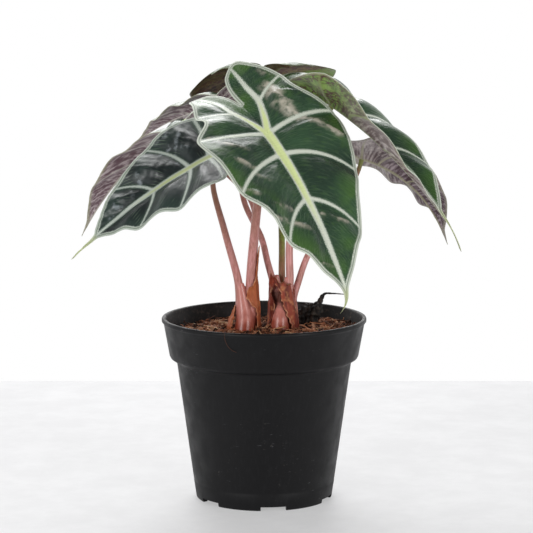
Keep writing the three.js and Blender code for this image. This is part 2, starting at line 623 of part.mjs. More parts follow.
// A torn papery shell round part of a crown
function sheathGeometry(sheath) {
  const crown = CROWNS[sheath.crown];
  const steps = (sheath.tops.length - 1) * 2;
  const vertices = [];
  const triangles = [];
  for (let face = 0; face < 2; face += 1) {
    for (let i = 0; i <= steps; i += 1) {
      const angle = radians(sheath.from + ((sheath.to - sheath.from) * i) / steps);
      const top = straight(sheath.tops, i / 2) - (i % 2 ? SHEATH_TEAR : 0);
      for (let k = 0; k <= SHEATH_ROWS; k += 1) {
        const z = THREE.MathUtils.lerp(SHEATH_FOOT, top, k / SHEATH_ROWS);
        const lean = sheath.lean * Math.max(0, z - crown.top);
        const radius = crown.radius + CROWN_SWELL + SHEATH_CLEARANCE + lean + face * SHEATH_THICKNESS;
        const [x, y] = [crown.x + Math.cos(angle) * radius, crown.y + Math.sin(angle) * radius];
        vertices.push(new THREE.Vector3(x, y, z));
      }
    }
  }
  const row = SHEATH_ROWS + 1;
  const outside = (steps + 1) * row;
  const quad = (a, b, c, d) => triangles.push([a, b, c], [a, c, d]);
  for (let i = 0; i < steps; i += 1) {
    for (let k = 0; k < SHEATH_ROWS; k += 1) {
      const a = i * row + k;
      quad(a, a + 1, a + row + 1, a + row);
      quad(outside + a, outside + a + row, outside + a + row + 1, outside + a + 1);
    }
    const low = i * row;
    const high = low + SHEATH_ROWS;
    quad(low, low + row, outside + low + row, outside + low);
    quad(high, outside + high, outside + high + row, high + row);
  }
  for (let k = 0; k < SHEATH_ROWS; k += 1) {
    const end = steps * row + k;
    quad(k, outside + k, outside + k + 1, k + 1);
    quad(end, end + 1, outside + end + 1, outside + end);
  }
  return solidGeometry(vertices, triangles);
}

function witheredGeometry() {
  const curve = new THREE.CatmullRomCurve3(WITHERED_ROUTE.map((p) => new THREE.Vector3(...p)));
  const spans = WITHERED_RADII.length - 1;
  const radius = (share) => straight(WITHERED_RADII, share * spans);
  return taperedTube(curve, radius, WITHERED_SIDES, WITHERED_STEPS);
}

function strawGeometry() {
  const lie = (x, y) => soilLevel(x, y) + STRAW_RADIUS + STRAW_LIFT;
  const curve = new THREE.CatmullRomCurve3(STRAW_ROUTE.map(([x, y]) => new THREE.Vector3(x, y, lie(x, y))));
  return taperedTube(curve, () => STRAW_RADIUS, STRAW_SIDES, STRAW_STEPS);
}

const finish = (color, roughness) => new THREE.MeshStandardMaterial({ color, roughness, metalness: 0 });
const plant = new THREE.Group();
function add(name, geometry, material) {
  const mesh = new THREE.Mesh(geometry, material);
  mesh.name = name;
  plant.add(mesh);
}

add('pot', potGeometry(), finish('#1b1c1d', 0.55));
add('soil', soilGeometry(), finish('#4a3024', 0.95));
Object.entries(CROWNS).forEach(([name, crown]) => {
  add(`crown_${name}`, crownGeometry(crown), finish('#a3625a', 0.5));
});
SHEATHS.forEach((sheath) => add(sheath.name, sheathGeometry(sheath), finish('#8a4326', 0.7)));
STALKS.forEach((stalk) => {
  const colour = stalk.name === 'rear' ? '#6f7f3c' : '#a8675c';
  add(`stalk_${stalk.name}`, stalkGeometry(stalk), finish(colour, 0.45));
});
LEAVES.forEach((leaf) => add(`blade_${leaf.name}`, bladeGeometry(leaf), finish('#2b5136', 0.35)));
add('withered_leaf', witheredGeometry(), finish('#1d1a17', 0.8));
add('straw', strawGeometry(), finish('#b08a5c', 0.8));

export default plant;
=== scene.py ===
import math

import bpy
import numpy as np
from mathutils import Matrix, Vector


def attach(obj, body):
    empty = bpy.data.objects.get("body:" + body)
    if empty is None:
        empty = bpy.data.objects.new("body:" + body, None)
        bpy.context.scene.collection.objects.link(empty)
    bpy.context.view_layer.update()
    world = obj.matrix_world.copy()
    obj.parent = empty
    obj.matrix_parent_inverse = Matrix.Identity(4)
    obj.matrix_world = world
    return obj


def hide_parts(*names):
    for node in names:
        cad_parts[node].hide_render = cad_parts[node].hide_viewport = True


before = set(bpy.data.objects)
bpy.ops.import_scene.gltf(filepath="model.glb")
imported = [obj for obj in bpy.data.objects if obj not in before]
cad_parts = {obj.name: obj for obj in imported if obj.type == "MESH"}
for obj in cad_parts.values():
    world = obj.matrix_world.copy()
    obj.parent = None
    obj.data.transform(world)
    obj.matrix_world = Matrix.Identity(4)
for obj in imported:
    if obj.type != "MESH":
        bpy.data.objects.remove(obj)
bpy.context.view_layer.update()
MM = 0.001


# Pot: a round 12 cm nursery pot with a deep rim band and a rolled lip. Black polypropylene,
# injection moulded in one piece, with a notched foot ring and drainage holes in its floor.

# Its turned section in radii and heights: pad, floor, foot, body, step, band and lip, and back down inside
POT_OUTSIDE = [
    (0, 0), (15, 0), (17.4, 2.9), (18.4, 3.2), (36.4, 3.2), (37, 2.6), (37, 0), (39.6, 0), (40.1, 0.5),
    (41.5, 9.6), (41.35, 10.1), (41.6, 10.9), (51.2, 80.6), (51.6, 81.7), (52.6, 82.5), (54, 83),
    (54.9, 83.6), (55.5, 84.8), (58.9, 103.7), (59.5, 104.4), (60, 105), (60, 106.2), (59.7, 106.8),
    (59.1, 107), (58, 106.9),
]
POT_INSIDE = [
    (57.6, 106.5), (57.3, 105.8), (54.2, 85.2), (53.6, 84.5), (50.6, 83.3), (50, 82), (38.9, 6.2),
    (38.2, 5.2), (20, 5.2), (17, 2.2), (0, 2.2),
]
POT_SIDES = 160
POT_NOTCHES = 6
POT_NOTCH_RING = 38.5 * MM
POT_NOTCH_SIZE = (10 * MM, 15 * MM, 4.8 * MM)
POT_NOTCH_TURN = -82
POT_DRAIN_HOLES = 6
POT_DRAIN_SIDES = 32
POT_DRAIN_RADIUS = 4 * MM
POT_DRAIN_RING = 26 * MM
POT_DRILL_DEPTH = 30 * MM


def linear(code):
    """sRGB hex colour to a linear colour."""
    parts = [int(code[i:i + 2], 16) / 255 for i in (1, 3, 5)]
    return tuple([c / 12.92 if c <= 0.04045 else ((c + 0.055) / 1.055) ** 2.4 for c in parts] + [1])


def add_node(tree, kind, *values, **settings):
    """The outputs of a new node with its settings. Its values or links fill its inputs in order. A dictionary
    holds inputs by name or number, and a list holds several links. The family is Shader by default."""
    node = tree.nodes.new(kind if "Node" in kind else "ShaderNode" + kind)
    for name, value in settings.items():
        setattr(node, name, value)
    for number, given in enumerate(values):
        for key, value in (given if isinstance(given, dict) else {number: given}).items():
            for one in value if isinstance(value, list) else [value]:
                if isinstance(one, bpy.types.NodeSocket):
                    tree.links.new(one, node.inputs[key])
                else:
                    node.inputs[key].default_value = one
    return node.outputs


SMOOTH = {"interpolation_type": "SMOOTHSTEP"}


def patches(tree, place, size, detail, low, high, least=0.0, most=1.0, grit=0.5):
    """Soft random patches with cells of a size in millimetres, from least at low noise to most at high."""
    cells = {"Vector": place, "Scale": 1 / (size * MM), "Detail": detail, "Roughness": grit}
    cells = add_node(tree, "TexNoise", cells)[0]
    return add_node(tree, "MapRange", cells, low, high, least, most, **SMOOTH)[0]


def paint(tree, ground, colour, *shares):
    """A colour over a ground, by the product of some shares. A colour is a hex code or a link. A share is a
    number or a link, or a link with the two values that it goes smoothly between, from 0 to 1 or as given."""
    shares = [add_node(tree, "MapRange", *s, **SMOOTH)[0] if isinstance(s, tuple) else s for s in shares]
    share = shares[0]
    for more in shares[1:]:
        share = add_node(tree, "Math", share, more, operation="MULTIPLY")[0]
    pair = [linear(c) if isinstance(c, str) else c for c in (ground, colour)]
    return add_node(tree, "Mix", {0: share, 6: pair[0], 7: pair[1]}, data_type="RGBA")[2]


def new_material(name, **values):
    """A material with one principled shader, whose constant values go straight on its sockets, with its
    tree and the place on the object."""
    made = bpy.data.materials.new(name)
    made.use_nodes = True
    for key, value in values.items():
        made.node_tree.nodes["Principled BSDF"].inputs[key.replace("_", " ")].default_value = value
    return made, made.node_tree, add_node(made.node_tree, "TexCoord")["Object"]


def finish(tree, colour, roughness=None, height=None, strength=1.0, depth=1.0):
    """Links a finish's colour, roughness and relief, whose depth is in millimetres. A height is a link, or
    noise: its place, the size of its cells in millimetres, its detail and its roughness."""
    shader = tree.nodes["Principled BSDF"].inputs
    tree.links.new(colour, shader["Base Color"])
    if roughness:
        tree.links.new(roughness, shader["Roughness"])
    if isinstance(height, tuple):
        place, size, detail, grit = height
        cells = {"Vector": place, "Scale": 1 / (size * MM), "Detail": detail, "Roughness": grit}
        height = add_node(tree, "TexNoise", cells)[0]
    if height:
        relief = {"Strength": strength, "Distance": depth * MM, "Height": height}
        tree.links.new(add_node(tree, "Bump", relief)[0], shader["Normal"])


def new_piece(name, points, faces, material):
    """A smooth mesh piece from points in metres and faces, with its place in its mesh."""
    mesh = bpy.data.meshes.new(name)
    mesh.from_pydata([tuple(p) for p in points], [], [tuple(int(k) for k in f) for f in faces])
    mesh.materials.append(material)
    mesh.polygons.foreach_set("use_smooth", [True] * len(mesh.polygons))
    piece = bpy.data.objects.new(name, mesh)
    bpy.context.scene.collection.objects.link(piece)
    return piece


def bake(piece):
    """The evaluated mesh of a piece in place of its modifiers."""
    bpy.context.view_layer.update()
    graph = bpy.context.evaluated_depsgraph_get()
    seen = piece.evaluated_get(graph)
    mesh = bpy.data.meshes.new_from_object(seen, preserve_all_data_layers=True, depsgraph=graph)
    piece.modifiers.clear()
    piece.data = mesh
    return piece


def dress(piece, slot, *nodes):
    """The piece rides on the plant's one body and stands for its CAD nodes."""
    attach(piece, "root")
    if nodes:
        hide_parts(*nodes)


def shape_tree(name, sizes):
    """An empty tree that shapes a piece, with its sizes as named inputs, and its input node's outputs."""
    group = bpy.data.node_groups.new(name, "GeometryNodeTree")
    group.interface.new_socket("Geometry", in_out="INPUT", socket_type="NodeSocketGeometry")
    for label, value in sizes.items():
        kind = "NodeSocketInt" if isinstance(value, int) else "NodeSocketFloat"
        group.interface.new_socket(label, in_out="INPUT", socket_type=kind).default_value = value
    group.interface.new_socket("Geometry", in_out="OUTPUT", socket_type="NodeSocketGeometry")
    return group, add_node(group, "NodeGroupInput")


def end_tree(group, shape, material):
    """The tree's end: real geometry in one material."""
    real = add_node(group, "GeometryNodeRealizeInstances", shape)[0]
    skin = add_node(group, "GeometryNodeSetMaterial", {0: real, "Material": material})[0]
    add_node(group, "NodeGroupOutput", skin)


def grow(piece, group, sizes):
    """The piece as its tree shapes it, with sizes of its own for some inputs."""
    modifier = piece.modifiers.new(group.name, "NODES")
    modifier.node_group = group
    labels = {item.name: item.identifier for item in group.interface.items_tree if item.in_out == "INPUT"}
    for label, value in sizes.items():
        modifier[labels[label]] = value
    return bake(piece)


# Moulded black polypropylene: dark and softly glossy, with handling dust, short scuffs, nicks at the step
# under the rim band and peat dust on the wall's inner side. The mould's fine grain dulls its gloss.
pot_plastic, tree, place = new_material("moulded black polypropylene", IOR=1.49, Specular_IOR_Level=0.21)
upright = add_node(tree, "Mapping", {"Vector": place, "Scale": (1, 1, 0.12)})[0]
level = add_node(tree, "Mapping", {"Vector": place, "Scale": (0.3, 0.3, 1.6)})[0]
handled = patches(tree, place, 30, 3, 0.45, 0.68)
tone = paint(tree, "#0c0c0e", "#121214", patches(tree, upright, 1.1, 2, 0.5, 0.75))
tone = paint(tree, tone, "#8d8781", patches(tree, place, 1.6, 4, 0.62, 0.74, grit=0.7), handled, 0.22)
tone = paint(tree, tone, "#7c7c80", patches(tree, level, 1.3, 2, 0.7, 0.78), handled, 0.5)
height = add_node(tree, "SeparateXYZ", place)[2]
over_body = (height, 74 * MM, 80 * MM)
under_band = (height, 89 * MM, 84 * MM)
nicks = patches(tree, level, 0.8, 3, 0.6, 0.75)
tone = paint(tree, tone, "#86868a", over_body, under_band, nicks, handled, 0.4)
flat = add_node(tree, "VectorMath", place, (1, 1, 0), operation="MULTIPLY")[0]
across = add_node(tree, "VectorMath", flat, operation="LENGTH")[1]
wall_side = add_node(tree, "Math", height, -0.17, across, operation="MULTIPLY_ADD")[0]
inside = (wall_side, 40.6 * MM, 40 * MM)
over_soil = (height, 86 * MM, 90 * MM)
soil_dust = patches(tree, place, 2.2, 4, 0.5, 0.7, 0.04, 0.4, 0.65)
tone = paint(tree, tone, "#5d4f45", inside, over_soil, soil_dust)
finish(tree, tone, patches(tree, place, 9, 3, 0.3, 0.7, 0.42, 0.55), (place, 0.7, 2, 0.5), 0.25, 0.05)


def grid_quads(numbers):
    """The quads between a grid of point numbers."""
    return np.stack([numbers[:-1, :-1], numbers[:-1, 1:], numbers[1:, 1:], numbers[1:, :-1]], -1)


def ring_numbers(rings, sides, first=0):
    """The numbers of the points of closed rings, with each ring's first point again at its end."""
    numbers = first + np.arange(rings * sides).reshape(rings, sides)
    return np.column_stack([numbers, numbers[:, 0]])


def ring_faces(rings, sides, first, start, end):
    """The faces of a closed body: quads between its rings of points and triangles to its two end points."""
    numbers = ring_numbers(rings, sides, first)
    faces = grid_quads(numbers).reshape(-1, 4).tolist()
    for ring, centre in ((numbers[0][::-1], start), (numbers[-1], end)):
        faces += [[centre, a, b] for a, b in zip(ring[:-1], ring[1:])]
    return faces


# The pot's closed body, whose section starts and ends on the axis
section = POT_OUTSIDE + POT_INSIDE
angles = np.arange(POT_SIDES) * 2 * np.pi / POT_SIDES
points = [(radius * math.cos(a), radius * math.sin(a), z) for radius, z in section[1:-1] for a in angles]
points = np.array([(0, 0, section[0][1])] + points + [(0, 0, section[-1][1])]) * MM
faces = ring_faces(len(section) - 2, POT_SIDES, 1, 0, len(points) - 1)
pot = new_piece("nursery_pot", points, faces, pot_plastic)

# The openings of the foot and the floor: a ring of notches and a ring of round holes, cut out of the pot
openings, given = shape_tree("pot openings", {
    "Notches": POT_NOTCHES, "Notch ring": POT_NOTCH_RING, "Notch turn": math.radians(POT_NOTCH_TURN),
    "Holes": POT_DRAIN_HOLES, "Hole ring": POT_DRAIN_RING, "Hole radius": POT_DRAIN_RADIUS,
})
notch = add_node(openings, "GeometryNodeMeshCube", {"Size": POT_NOTCH_SIZE})[0]
drill = {"Vertices": POT_DRAIN_SIDES, "Radius": given["Hole radius"], "Depth": POT_DRILL_DEPTH}
hole = add_node(openings, "GeometryNodeMeshCylinder", drill)[0]
cutters = []
for count, ring, turn, body in [
    (given["Notches"], given["Notch ring"], given["Notch turn"], notch),
    (given["Holes"], given["Hole ring"], math.pi / POT_DRAIN_HOLES, hole),
]:
    circle = add_node(openings, "GeometryNodeMeshCircle", {"Vertices": count, "Radius": ring})[0]
    spot = add_node(openings, "GeometryNodeInputIndex")[0]
    share = add_node(openings, "Math", spot, count, operation="DIVIDE")[0]
    spin = add_node(openings, "Math", share, 2 * math.pi, operation="MULTIPLY")[0]
    spin = add_node(openings, "CombineXYZ", {2: spin})[0]
    laid = {"Points": circle, "Instance": body, "Rotation": spin}
    copies = add_node(openings, "GeometryNodeInstanceOnPoints", laid)[0]
    loose = add_node(openings, "GeometryNodeRealizeInstances", copies)[0]
    turned = {0: loose, "Rotation": add_node(openings, "CombineXYZ", {2: turn})[0]}
    cutters.insert(0, add_node(openings, "GeometryNodeTransform", turned)[0])
cut = {"Mesh 1": given["Geometry"], "Mesh 2": cutters}
cut = add_node(openings, "GeometryNodeMeshBoolean", cut, operation="DIFFERENCE", solver="EXACT")[0]
end_tree(openings, cut, pot_plastic)
grow(pot, openings, {})
pot.data.set_sharp_from_angle(angle=math.radians(50))
dress(pot, "pot_plastic", "pot")


# Soil: moist peat with coco fibre, filled loosely to about 10 mm below the lip and heaped a little
# round the plant. Coarse dark brown crumbs, redder fibres and a few pale straws lie on it.
SOIL_EDGE = 96.5
SOIL_MIDDLE = 99
SOIL_RINGS = 90
SOIL_SIDES = 200
SOIL_RADIUS = 55.9
MOUND_RADIUS = 55.4
# Radii and heights down the soil's side and under it, just inside the pot's wall and floor
SOIL_SIDE = [(54.9, 92), (49.4, 81.5), (38.4, 6), (19.8, 5.8), (17, 2.6)]
CRUMBS = 2300
FIBRES = 820
PALE_STRAWS = 56
# The bed that crumbs and fibres lie on: its radius in millimetres, its rings and its area in square metres
BED_RADIUS = 54.5
BED_RINGS = 24
BED_AREA = 0.0093


def soil_level(x, y):
    """Height of the soil in millimetres: a low mound with lumps, heaped up at the right."""
    reach = np.minimum(1, np.hypot(x, y) / MOUND_RADIUS)
    lumps = np.sin(x * 0.53 + 1.3) * np.cos(y * 0.61 - 0.4) + 0.6 * np.sin(x * 1.17 - y * 0.93)
    lumps = lumps + 0.5 * np.cos(x * 0.81 + y * 1.31 + 2)
    heap = 2.4 * np.clip((x - 16) / 30, 0, 1) ** 1.5 - 0.8 * np.clip(-(x + 12) / 35, 0, 1)
    return SOIL_MIDDLE + (SOIL_EDGE - SOIL_MIDDLE) * reach ** 2 + heap + 0.65 * lumps


# Moist peat: matt and crumbly, nearly black in its hollows and red brown on its clods, with pale specks
peat, tree, place = new_material(
    "moist peat and coco fibre", IOR=1.4, Specular_IOR_Level=0.25, Roughness=0.85)
tone = paint(tree, "#1f110c", "#6e412d", patches(tree, place, 5, 4, 0.35, 0.68, grit=0.65))
tone = paint(tree, tone, "#a5745a", patches(tree, place, 1.3, 3, 0.42, 0.72, grit=0.6))
finish(tree, tone, None, (place, 1.2, 5, 0.7), 0.9, 0.7)

rings = np.linspace(0, 1, SOIL_RINGS + 1)[1:] * SOIL_RADIUS
turns = np.arange(SOIL_SIDES) * 2 * np.pi / SOIL_SIDES
soil_x = (rings[:, None] * np.cos(turns)).ravel()
soil_y = (rings[:, None] * np.sin(turns)).ravel()
top = np.stack([soil_x, soil_y, soil_level(soil_x, soil_y)], 1)
lower = [[r * math.cos(a), r * math.sin(a), z] for r, z in SOIL_SIDE for a in turns]
points = np.concatenate([[[0, 0, soil_level(0, 0)]], top, lower, [[0, 0, SOIL_SIDE[-1][1]]]]) * MM
faces = ring_faces(SOIL_RINGS + len(SOIL_SIDE), SOIL_SIDES, 1, 0, len(points) - 1)
dress(new_piece("potting_soil", points, [face[::-1] for face in faces], peat), "peat", "soil")


def scatter(group, given, body, turn, size, seed):
    """Real copies of a body at random spots of the bed, each with its own shade from darkest to palest."""
    density = add_node(group, "Math", given["Count"], BED_AREA, operation="DIVIDE")[0]
    spots = {0: given["Geometry"], "Density": density, "Seed": given["Seed"]}
    spots = add_node(group, "GeometryNodeDistributePointsOnFaces", spots)[0]
    laid = {"Points": spots, "Instance": body, "Rotation": turn, "Scale": size}
    laid = add_node(group, "GeometryNodeInstanceOnPoints", laid)[0]
    shade = {2: given["Darkest"], 3: given["Palest"], "Seed": seed}
    shade = add_node(group, "FunctionNodeRandomValue", shade, data_type="FLOAT")[1]
    laid = {"Geometry": laid, "Name": "shade", "Value": shade}
    laid = add_node(group, "GeometryNodeStoreNamedAttribute", laid, data_type="FLOAT", domain="INSTANCE")[0]
    return add_node(group, "GeometryNodeRealizeInstances", laid)[0]


# Where the crumbs and fibres land: the soil's face inside the pot
bed_turns = turns[::4]
bed = np.array([[r * math.cos(a), r * math.sin(a)]
                for r in np.linspace(1, BED_RADIUS, BED_RINGS) for a in bed_turns])
bed_points = np.column_stack([bed, soil_level(*bed.T)]) * MM
bed_faces = grid_quads(ring_numbers(BED_RINGS, len(bed_turns))).reshape(-1, 4)[:, [0, 3, 2, 1]]

# Loose crumbs: the same peat, each with its own shade from wet and nearly black to dry and pale
crumb_skin, tree, place = new_material("loose peat crumb", IOR=1.4, Specular_IOR_Level=0.25, Roughness=0.85)
own = add_node(tree, "Attribute", attribute_name="shade")["Fac"]
tone = paint(tree, "#20120c", "#865138", (own, 0.2, 0.7))
tone = paint(tree, tone, "#c39a7c", (own, 0.75, 0.95))
tone = paint(tree, tone, "#7d5038", patches(tree, place, 1, 3, 0.4, 0.7, 0, 0.5, 0.6))
finish(tree, tone, None, (place, 0.8, 4, 0.7), 0.9, 0.5)

crumb, given = shape_tree("peat crumbs", {
    "Count": CRUMBS, "Smallest": 0.4 * MM, "Largest": 2.4 * MM, "Ragged": 1.6 * MM,
    "Darkest": 0.0, "Palest": 1.0, "Seed": 7,
})
ball = add_node(crumb, "GeometryNodeMeshIcoSphere", {"Radius": 1.0, "Subdivisions": 2})[0]
size = {2: given["Smallest"], 3: given["Largest"], "Seed": 11}
size = add_node(crumb, "FunctionNodeRandomValue", size, data_type="FLOAT")[1]
turn = {0: (0, 0, 0), 1: (6.28, 6.28, 6.28), "Seed": 12}
turn = add_node(crumb, "FunctionNodeRandomValue", turn, data_type="FLOAT_VECTOR")[0]
flat = {0: (0.6, 0.5, 0.4), 1: (1.6, 1.1, 0.9), "Seed": 13}
flat = add_node(crumb, "FunctionNodeRandomValue", flat, data_type="FLOAT_VECTOR")[0]
size = add_node(crumb, "VectorMath", {0: flat, 3: size}, operation="SCALE")[0]
laid = scatter(crumb, given, ball, turn, size, 14)
where = add_node(crumb, "GeometryNodeInputPosition")[0]
bumps = add_node(crumb, "TexNoise", {"Vector": where, "Scale": 900.0, "Detail": 2.0})["Color"]
bumps = add_node(crumb, "VectorMath", bumps, (0.5, 0.5, 0.5), operation="SUBTRACT")[0]
bumps = add_node(crumb, "VectorMath", {0: bumps, 3: given["Ragged"]}, operation="SCALE")[0]
ragged = add_node(crumb, "GeometryNodeSetPosition", {0: laid, "Offset": bumps})[0]
end_tree(crumb, add_node(crumb, "GeometryNodeSetShadeSmooth", ragged)[0], crumb_skin)
crumbs = new_piece("peat_crumbs", bed_points, bed_faces, crumb_skin)
dress(grow(crumbs, crumb, {}), "peat")

# Coco fibres: thin bent strands, red brown to straw, lying in and over the peat and kept inside the wall.
# A few of them are longer and thicker pale straws.
coir, tree, place = new_material("coco fibre", IOR=1.45, Specular_IOR_Level=0.3, Roughness=0.7)
own = add_node(tree, "Attribute", attribute_name="shade")["Fac"]
tone = paint(tree, "#52301f", "#be7f5c", (own, 0.1, 0.65))
tone = paint(tree, tone, "#c69f78", (own, 0.8, 1.0))
finish(tree, paint(tree, tone, "#54301f", patches(tree, place, 4, 2, 0.45, 0.7, 0, 0.5)))

fibre, given = shape_tree("coco fibres", {
    "Count": FIBRES, "Length": 15 * MM, "Thickness": 0.25 * MM, "Bend": 9 * MM, "Wall": 55 * MM,
    "Darkest": 0.0, "Palest": 0.9, "Seed": 3,
})
strand = add_node(fibre, "GeometryNodeCurvePrimitiveLine", {"Start": (-0.5, 0, 0), "End": (0.5, 0, 0)})[0]
strand = add_node(fibre, "GeometryNodeResampleCurve", {0: strand, "Count": 9})[0]
turn = {0: (0, -0.3, 0), 1: (0, 0.3, 6.28), "Seed": 21}
turn = add_node(fibre, "FunctionNodeRandomValue", turn, data_type="FLOAT_VECTOR")[0]
size = {2: 0.35, 3: 1.3, "Seed": 22}
size = add_node(fibre, "FunctionNodeRandomValue", size, data_type="FLOAT")[1]
size = add_node(fibre, "Math", size, given["Length"], operation="MULTIPLY")[0]
laid = scatter(fibre, given, strand, turn, size, 23)
where = add_node(fibre, "GeometryNodeInputPosition")[0]
bends = add_node(fibre, "TexNoise", {"Vector": where, "Scale": 130.0, "Detail": 1.0})["Color"]
bends = add_node(fibre, "VectorMath", bends, (0.5, 0.5, 0.24), operation="SUBTRACT")[0]
bends = add_node(fibre, "VectorMath", {0: bends, 3: given["Bend"]}, operation="SCALE")[0]
bends = add_node(fibre, "VectorMath", bends, (1, 1, 0.35), operation="MULTIPLY")[0]
bent = add_node(fibre, "GeometryNodeSetPosition", {0: laid, "Offset": bends})[0]
level = add_node(fibre, "VectorMath", where, (1, 1, 0), operation="MULTIPLY")[0]
reach = add_node(fibre, "VectorMath", level, operation="LENGTH")[1]
limit = add_node(fibre, "Math", given["Wall"], reach, operation="DIVIDE")[0]
limit = add_node(fibre, "Math", limit, 1.0, operation="MINIMUM")[0]
limit = add_node(fibre, "CombineXYZ", limit, limit, 1.0)[0]
inside = add_node(fibre, "VectorMath", where, limit, operation="MULTIPLY")[0]
bent = add_node(fibre, "GeometryNodeSetPosition", {0: bent, "Position": inside})[0]
section = {"Resolution": 5, "Radius": given["Thickness"]}
section = add_node(fibre, "GeometryNodeCurvePrimitiveCircle", section)[0]
strands = add_node(fibre, "GeometryNodeCurveToMesh", bent, section, {"Fill Caps": True})[0]
end_tree(fibre, add_node(fibre, "GeometryNodeSetShadeSmooth", strands)[0], coir)
for name, sizes in [
    ("coco_fibres", {}),
    ("pale_straws", {"Count": PALE_STRAWS, "Length": 21 * MM, "Thickness": 0.4 * MM, "Bend": 11 * MM,
                     "Darkest": 0.85, "Palest": 1.0, "Seed": 8}),
]:
    dress(grow(new_piece(name, bed_points, bed_faces, coir), fibre, sizes), "peat")


# Blades: seven arrow-shaped leaves, thick and leathery, near black green above with pale silvery
# ribs, side veins and margin, and purple underneath. Each grew in one piece with its drip tip.

# Sizes and bends in millimetres and degrees. A blade has its length, the junction where its stalk meets
# it, the heading, slope, droop, roll and twist of its midrib, the fold and cup of its left and right half,
# waves at its margin, bays that puff, and a drip tip that sags. The values named back hold behind the
# junction and the others ahead of it. A calm blade's left half has few puckers.
LEAVES = {
    "front": dict(
        length=109, width=0.87, junction=(2, -45.5, 218), heading=-52.5, slope=37.5,
        droop=23.5, droop_back=54, roll=18.5, twist=-7, twist_back=-46,
        fold=(15.5, 12), fold_tip=-7, fold_back=-18, cup=(43, -5),
        wave=1.6, puff=1, tip=12, sag=(-0.5, 0, 0.05)),
    "left_front": dict(
        length=81, width=0.95, junction=(-31, -41, 204.5), heading=185, slope=27,
        droop=15.5, droop_back=88, roll=-22, twist=-20.5, twist_back=4.5,
        fold=(8.5, 13.5), fold_tip=-8, fold_back=1, cup=(2, -3),
        wave=1.4, puff=1.6, calm=1, tip=15, sag=(0, 0, -0.05)),
    "left_rear": dict(
        length=87.5, width=0.74, junction=(-48, 17.5, 220), heading=167, slope=31.5,
        droop=30, droop_back=-29, roll=-5.5, twist=10.5, twist_back=-42.5,
        fold=(-5, 8), fold_tip=39.5, fold_back=38.5, cup=(-14, 58),
        wave=1.4, puff=1.2, tip=6, sag=(0, 0, -0.2)),
    "upper_left": dict(
        length=65.5, width=1.01, junction=(-19, 52.5, 230), heading=160.5, slope=8,
        droop=27.5, droop_back=24, roll=15, twist=-7.5, twist_back=8,
        fold=(5.5, 13.5), fold_tip=0.5, fold_back=3.5, cup=(20, 38),
        wave=1.2, puff=1.2, tip=5, sag=(0, 0, -0.2)),
    "rear": dict(
        length=95, width=1.04, junction=(-2.5, 79.5, 240.5), heading=93, slope=26,
        droop=79.5, droop_back=45, roll=1, twist=4.5, twist_back=-0.5,
        fold=(28.5, 22.5), fold_tip=-3, fold_back=36.5, cup=(80, 27),
        wave=0.25, puff=0.6, tip=12, sag=(0, 0, -0.2)),
    "right": dict(
        length=95, width=0.78, junction=(40, 3.5, 231.5), heading=-32, slope=30,
        droop=19.5, droop_back=124.5, roll=-4.5, twist=8.5, twist_back=-78.5,
        fold=(32.5, 26.5), fold_tip=0.5, fold_back=5.5, cup=(88, -23),
        wave=1.2, puff=1, tip=18, sag=(0, 0, -0.3)),
    "right_rear": dict(
        length=69, width=1.11, junction=(58.5, 32, 198), heading=-3, slope=16.5,
        droop=52.5, droop_back=8.5, roll=-14.5, twist=-19.5, twist_back=-37.5,
        fold=(22.5, 19.5), fold_tip=1, fold_back=32.5, cup=(39, 17),
        wave=1.2, puff=1.2, tip=6, sag=(0, 0, -0.2)),
}
# The half blade laid flat, in shares of the midrib's length: each row's rib, bow and margin point, how
# far the margin waves, how far the row bulges and how strong its side vein is
ROWS = [
    ((1, 0), (1, 0), (1, 0), 0, 0, 0),
    ((0.985, 0), (0.985, 0.007), (0.99, 0.014), 0, 0, 0),
    ((0.9, 0), (0.91, 0.02), (0.93, 0.048), 0.3, 0.2, 0),
    ((0.73, 0), (0.79, 0.065), (0.86, 0.105), -0.2, 0, 0),
    ((0.6, 0), (0.67, 0.1), (0.77, 0.166), 0.6, 0.7, 0),
    ((0.445, 0), (0.5, 0.15), (0.685, 0.242), -0.5, 0, 0.8),
    ((0.31, 0), (0.345, 0.19), (0.5, 0.308), 1, 1, 0),
    ((0.15, 0), (0.19, 0.24), (0.362, 0.398), -0.6, 0, 1),
    ((0.075, 0), (0.08, 0.25), (0.17, 0.45), 0.9, 1, 0),
    ((0, 0), (-0.045, 0.24), (-0.02, 0.478), -0.5, 0, 1),
    ((-0.1, 0.05), (-0.135, 0.2), (-0.165, 0.332), 0.8, 0.8, 0),
    ((-0.205, 0.095), (-0.255, 0.19), (-0.27, 0.32), -0.3, 0, 0.7),
    ((-0.33, 0.108), (-0.375, 0.18), (-0.4, 0.25), 0.5, 0.5, 0),
    ((-0.43, 0.14), (-0.46, 0.175), (-0.478, 0.215), 0.2, 0.2, 0),
    ((-0.5, 0.165), (-0.5, 0.165), (-0.5, 0.165), 0, 0, 0),
]
INNER_MARGIN = np.array([(0, 0), (-0.13, 0), (-0.265, 0), (-0.38, 0.022), (-0.468, 0.078), (-0.5, 0.165)])
JUNCTION_ROW = 9
LAST_ROW = len(ROWS) - 1
VEIN_ROWS = [k for k, row in enumerate(ROWS) if row[5]]
# The power of its share out from the rib by which a wave grows towards the margin
WAVE_REACH = 1.6
